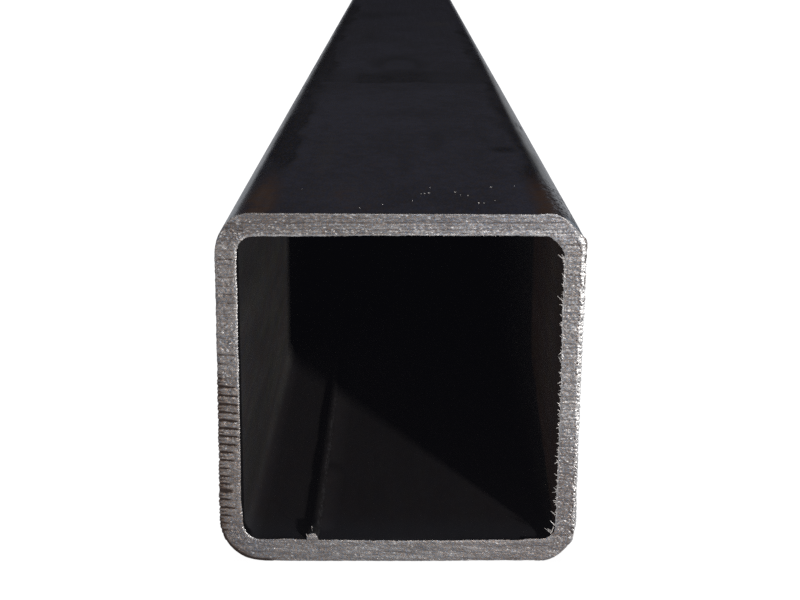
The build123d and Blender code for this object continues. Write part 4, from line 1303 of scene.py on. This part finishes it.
def scale_inside():
    m = Nodes("bore_scale")
    x, y, z = m.xyz(m.mm)
    d = m.math("ADD", y, HALF_LENGTH)
    cloud = m.noise(1.0, 4.0, 0.60, stretch=(5.0, 26.0, 5.0), offset=(17, 11, 3))
    mottle = m.noise(1.0, 3.0, 0.6, stretch=(1.2, 3.0, 1.2), offset=(2, 18, 6))
    hue = m.noise(1.0, 3.0, 0.6, stretch=(2.6, 14.0, 2.6), offset=(5, 18, 6))
    base = m.mix(m.ramp(cloud, 0.36, 0.64), (0.078, 0.073, 0.072), (0.128, 0.121, 0.122))
    lengthwise = m.noise(1.0, 3.0, 0.6, stretch=(2.4, 55.0, 2.8), offset=(7, 2, 14))
    base = m.mix(m.ramp(lengthwise, 0.50, 0.68, 0.0, 0.28), base, (0.165, 0.155, 0.140))
    base = m.mix(m.ramp(lengthwise, 0.50, 0.34, 0.0, 0.30), base, (0.060, 0.054, 0.052))
    base = m.mix(m.ramp(mottle, 0.45, 0.75, 0.0, 0.35), base, (0.140, 0.128, 0.115))
    base = m.mix(m.ramp(hue, 0.50, 0.62, 0.0, 0.55), base, (0.112, 0.112, 0.082))
    base = m.mix(m.ramp(hue, 0.50, 0.38, 0.0, 0.55), base, (0.112, 0.086, 0.082))
    tint = m.noise(1.0, 1.0, 0.5, stretch=(0.9, 2.8, 0.9), offset=(25, 8, 16))
    base = m.mix(m.ramp(tint, 0.52, 0.66, 0.0, 0.40), base, (0.080, 0.090, 0.125))
    base = m.mix(m.ramp(tint, 0.48, 0.34, 0.0, 0.40), base, (0.120, 0.088, 0.066))
    floor = m.ramp(z, 4.6, 3.4)
    base = m.mix(m.math("MULTIPLY", floor, 0.74), base, (0.044, 0.037, 0.042))
    # painted shade: the right wall darker and browner near the cut
    right_mouth_shade = m.math("MULTIPLY", m.ramp(x, 20.6, 21.6), m.ramp(d, 16.0, 3.0))
    base = m.mix(m.math("MULTIPLY", right_mouth_shade, 0.58), base, (0.050, 0.034, 0.024))
    left_near = m.math("MULTIPLY", m.ramp(x, -20.6, -21.6), m.math("MULTIPLY", m.ramp(d, 75.0, 12.0), m.ramp(z, 3.4, 5.0)))
    by_height = m.math("MAXIMUM", m.ramp(z, 17.0, 11.0, 0.30, 0.56), m.ramp(z, 32.0, 38.0, 0.30, 0.66))
    base = m.mix(m.math("MULTIPLY", left_near, by_height), base, (0.038, 0.036, 0.039))
    # painted reflection: a lighter line along the rolled corner by the floor
    corner = m.math("MULTIPLY", m.slab(x, -22.2, -21.1, 0.5), m.ramp(z, 6.4, 4.4))
    corner = m.math("MULTIPLY", corner, m.ramp(d, 16.0, 80.0, 0.12, 1.0))
    base = m.mix(m.math("MULTIPLY", corner, m.ramp(mottle, 0.35, 0.6, 0.20, 0.42)), base, (0.205, 0.205, 0.190))
    # painted light: the floor by the cut lighter and bluer
    mouth_sky_light = m.math("MULTIPLY", m.ramp(d, 11.0, 2.0), m.ramp(z, 6.0, 4.0))
    base = m.mix(m.math("MULTIPLY", mouth_sky_light, 0.40), base, (0.095, 0.105, 0.130))
    # painted shadow: a near-black band on the left wall just behind the cut, where the burr shades it
    painted_rim = m.math("MULTIPLY", m.ramp(d, 2.7, 1.5), m.ramp(x, -18.5, -20.5))
    painted_rim = m.math("MULTIPLY", painted_rim, m.ramp(z, 3.2, 3.9))
    base = m.mix(m.math("MULTIPLY", painted_rim, 0.97), base, (0.004, 0.003, 0.003))
    # the weld: a painted highlight on its right flank, painted shade in patches over its crest, and a painted shadow on
    # its left flank and the floor beside it
    lit_flank = m.math("MULTIPLY", m.slab(x, -11.82, -11.3, 0.12), m.ramp(d, 110.0, 30.0, 0.0, 0.55))
    dotted = m.noise(1.0, 1.0, 0.5, stretch=(0.5, 1.3, 0.5), offset=(12, 8, 6))
    base = m.mix(m.math("MULTIPLY", m.math("MULTIPLY", lit_flank, m.ramp(dotted, 0.50, 0.64, 0.0, 0.9)), m.ramp(z, 6.0, 5.0)), base, (0.165, 0.165, 0.175))
    # painted shade in patches over the weld's crest, breaking up its highlight
    base = m.mix(m.math("MULTIPLY", m.math("MULTIPLY", m.slab(x, -12.3, -11.2, 0.2), m.ramp(z, 6.0, 5.0)), m.ramp(dotted, 0.52, 0.40, 0.25, 0.8)), base, (0.040, 0.036, 0.036))
    # painted shadow on the weld's left flank and on the floor beside it
    weld_shadow_paint = m.math("MULTIPLY", m.slab(x, -14.2, -12.5, 0.4), m.ramp(z, 6.0, 5.0))
    base = m.mix(m.math("MULTIPLY", weld_shadow_paint, m.ramp(mottle, 0.30, 0.55, 0.25, 0.60)), base, (0.046, 0.040, 0.036))
    bare = m.attr("bare")
    shown = m.ramp(bare, 0.50, 0.80)
    colour = m.mix(shown, base, (0.60, 0.57, 0.555))
    m.link(colour, m.bsdf.inputs["Base Color"])
    m.link(m.math("MULTIPLY", shown, 0.95), m.bsdf.inputs["Metallic"])
    m.link(m.ramp(mottle, 0.3, 0.7, 0.62, 0.50), m.bsdf.inputs["Roughness"])
    m.link(m.bump(m.math("MULTIPLY", mottle, 0.008), 1.0, 0.001), m.bsdf.inputs["Normal"])
    return m.mat


def bright_burr():
    m = Nodes("burr_steel")
    grain = m.noise(1.0, 2.0, 0.5, stretch=(0.12, 0.12, 0.12))
    m.link(m.mix(grain, (0.90, 0.84, 0.80), (0.99, 0.97, 0.95)), m.bsdf.inputs["Base Color"])
    m.bsdf.inputs["Metallic"].default_value = 0.4
    m.link(m.ramp(grain, 0.3, 0.7, 0.46, 0.34), m.bsdf.inputs["Roughness"])
    return m.mat


for mat in (scale_outside(), steel_ends(), scale_inside()):
    tube_mesh.materials.append(mat)
burr_mesh.materials.append(bright_burr())

for piece in (tube, burrs):
    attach(piece, "root")
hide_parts("square_tube")

# ----------------------------------------------------------------------------
# floor, light and camera
# ----------------------------------------------------------------------------
scene = bpy.context.scene
scene.view_settings.view_transform = "Standard"
scene.view_settings.look = "None"
scene.cycles.use_denoising = False
# the lens's veil: black is not quite black in the picture
scene.view_settings.use_curve_mapping = True
veil = scene.view_settings.curve_mapping
for curve, lift in zip(veil.curves, (0.0022, 0.0022, 0.0030)):
    curve.points[0].location = (0.0, lift)
veil.update()

fm = bpy.data.meshes.new("floor")
S = 14.0
fm.from_pydata([(-S, -S, -0.0002), (S, -S, -0.0002), (S, S, -0.0002), (-S, S, -0.0002)], [], [(0, 1, 2, 3)])
floor = bpy.data.objects.new("floor", fm)
scene.collection.objects.link(floor)
mat = bpy.data.materials.new("pale_floor")
mat.use_nodes = True
nt = mat.node_tree
nt.nodes.clear()
out = nt.nodes.new("ShaderNodeOutputMaterial")
lp = nt.nodes.new("ShaderNodeLightPath")
mixs = nt.nodes.new("ShaderNodeMixShader")
dif0 = nt.nodes.new("ShaderNodeBsdfDiffuse")
dif0.inputs["Color"].default_value = (0.30, 0.30, 0.30, 1)
em0 = nt.nodes.new("ShaderNodeEmission")
em0.inputs["Color"].default_value = (0.90, 0.94, 1.0, 1)
em0.inputs["Strength"].default_value = 0.26
dif = nt.nodes.new("ShaderNodeAddShader")
nt.links.new(dif0.outputs[0], dif.inputs[0])
nt.links.new(em0.outputs[0], dif.inputs[1])
add = nt.nodes.new("ShaderNodeAddShader")
dif2 = nt.nodes.new("ShaderNodeBsdfDiffuse")
dif2.inputs["Color"].default_value = (0.35, 0.35, 0.35, 1)
em = nt.nodes.new("ShaderNodeEmission")
em.inputs["Color"].default_value = (1, 1, 1, 1)
em.inputs["Strength"].default_value = 0.96
nt.links.new(lp.outputs["Is Camera Ray"], mixs.inputs[0])
nt.links.new(dif.outputs[0], mixs.inputs[1])
nt.links.new(dif2.outputs[0], add.inputs[0])
nt.links.new(em.outputs[0], add.inputs[1])
nt.links.new(add.outputs[0], mixs.inputs[2])
nt.links.new(mixs.outputs[0], out.inputs[0])
fm.materials.append(mat)

world = bpy.data.worlds.new("studio")
scene.world = world
world.use_nodes = True
nt = world.node_tree
nt.nodes.clear()
wout = nt.nodes.new("ShaderNodeOutputWorld")
lp = nt.nodes.new("ShaderNodeLightPath")
tc = nt.nodes.new("ShaderNodeTexCoord")
sep = nt.nodes.new("ShaderNodeSeparateXYZ")
nt.links.new(tc.outputs["Generated"], sep.inputs[0])


def wmath(op, a, b=0.0, c=0.0):
    n = nt.nodes.new("ShaderNodeMath")
    n.operation = op
    for k, q in enumerate((a, b, c)):
        if isinstance(q, bpy.types.NodeSocket):
            nt.links.new(q, n.inputs[k])
        else:
            n.inputs[k].default_value = q
    return n.outputs[0]


def wramp(value, a, b, x=0.0, y=1.0):
    n = nt.nodes.new("ShaderNodeMapRange")
    n.interpolation_type = "SMOOTHSTEP"
    nt.links.new(value, n.inputs["Value"])
    for key, q in (("From Min", a), ("From Max", b), ("To Min", x), ("To Max", y)):
        n.inputs[key].default_value = q
    return n.outputs["Result"]


dx, dy, dz = sep.outputs
# a dim room, with pale walls to the left and right of the tube
low_side = wramp(dz, 0.30, 0.02)
right_wall = wmath("MULTIPLY", wramp(dx, 0.105, 0.145, 0.0, 0.34), wramp(dz, 0.080, 0.040))
left_wall = wramp(dx, -0.24, -0.50, 0.0, 0.14)
walls = wmath("MULTIPLY", wmath("ADD", right_wall, left_wall), low_side)
behind = wramp(dy, 0.2, -0.6, 1.0, 0.25)  # less of them behind the camera
room = wmath("ADD", wmath("MULTIPLY", walls, behind), wmath("ADD", wramp(dz, 0.03, 0.13, 0.004, 0.020), wramp(dz, 0.2, 0.95, 0.0, 0.04)))
floor_far = wramp(dz, 0.0, -0.03)
below = nt.nodes.new("ShaderNodeMix")
below.data_type = "FLOAT"
nt.links.new(floor_far, below.inputs["Factor"])
nt.links.new(room, below.inputs["A"])
below.inputs["B"].default_value = 0.36
bg = nt.nodes.new("ShaderNodeBackground")
bg.inputs["Color"].default_value = (0.94, 0.97, 1.0, 1)
nt.links.new(below.outputs["Result"], bg.inputs["Strength"])
bgc = nt.nodes.new("ShaderNodeBackground")
bgc.inputs["Color"].default_value = (1, 1, 1, 1)
bgc.inputs["Strength"].default_value = 1.0
mixw = nt.nodes.new("ShaderNodeMixShader")
nt.links.new(lp.outputs["Is Camera Ray"], mixw.inputs[0])
nt.links.new(bg.outputs[0], mixw.inputs[1])
nt.links.new(bgc.outputs[0], mixw.inputs[2])
nt.links.new(mixw.outputs[0], wout.inputs[0])


def area(name, where, at, size, watts, colour=(1, 1, 1)):
    data = bpy.data.lights.new(name, "AREA")
    data.shape = "RECTANGLE"
    data.size, data.size_y = size
    data.energy = watts
    data.color = colour
    ob = bpy.data.objects.new(name, data)
    ob.location = where
    d = Vector(at) - Vector(where)
    ob.rotation_euler = d.to_track_quat("-Z", "Y").to_euler()
    scene.collection.objects.link(ob)
    return ob


area("key", (0.851, -2.196, 0.36), (0, -0.5, 0.03), (0.09, 0.08), 13.4, (1.0, 0.982, 0.955))
low_left = area("low_left", (-0.99, -1.50, -0.31), (0, -0.48, 0.025), (0.07, 0.05), 1.5, (1.0, 0.56, 0.38))
area("top", (0.0, 0.15, 1.7), (0, 0.1, 0), (1.3, 1.4), 12.0, (0.97, 0.985, 1.0))

# the low warm light stands for what a bright floor sends up from the left, so the floor
# itself neither stops it nor receives it
only_steel = bpy.data.collections.new("steel_only")
for piece in (tube, burrs):
    only_steel.objects.link(piece)
low_left.visible_glossy = False
low_left.light_linking.receiver_collection = only_steel
low_left.light_linking.blocker_collection = only_steel

cam_data = bpy.data.cameras.new("camera")
cam_data.lens = 67.86
cam_data.sensor_width = 36.0
cam = bpy.data.objects.new("camera", cam_data)
rz, rx, ry = math.radians(-0.003), math.radians(-14.388), math.radians(-0.2536)
turn = Matrix.Rotation(rz, 4, "Z") @ Matrix.Rotation(rx, 4, "X") @ Matrix.Rotation(ry, 4, "Y") @ Matrix.Rotation(math.radians(90), 4, "X")
cam.matrix_world = Matrix.Translation((-0.00002, -0.6978, 0.08886)) @ turn
cam_data.clip_start = 0.01
scene.collection.objects.link(cam)
scene.camera = cam
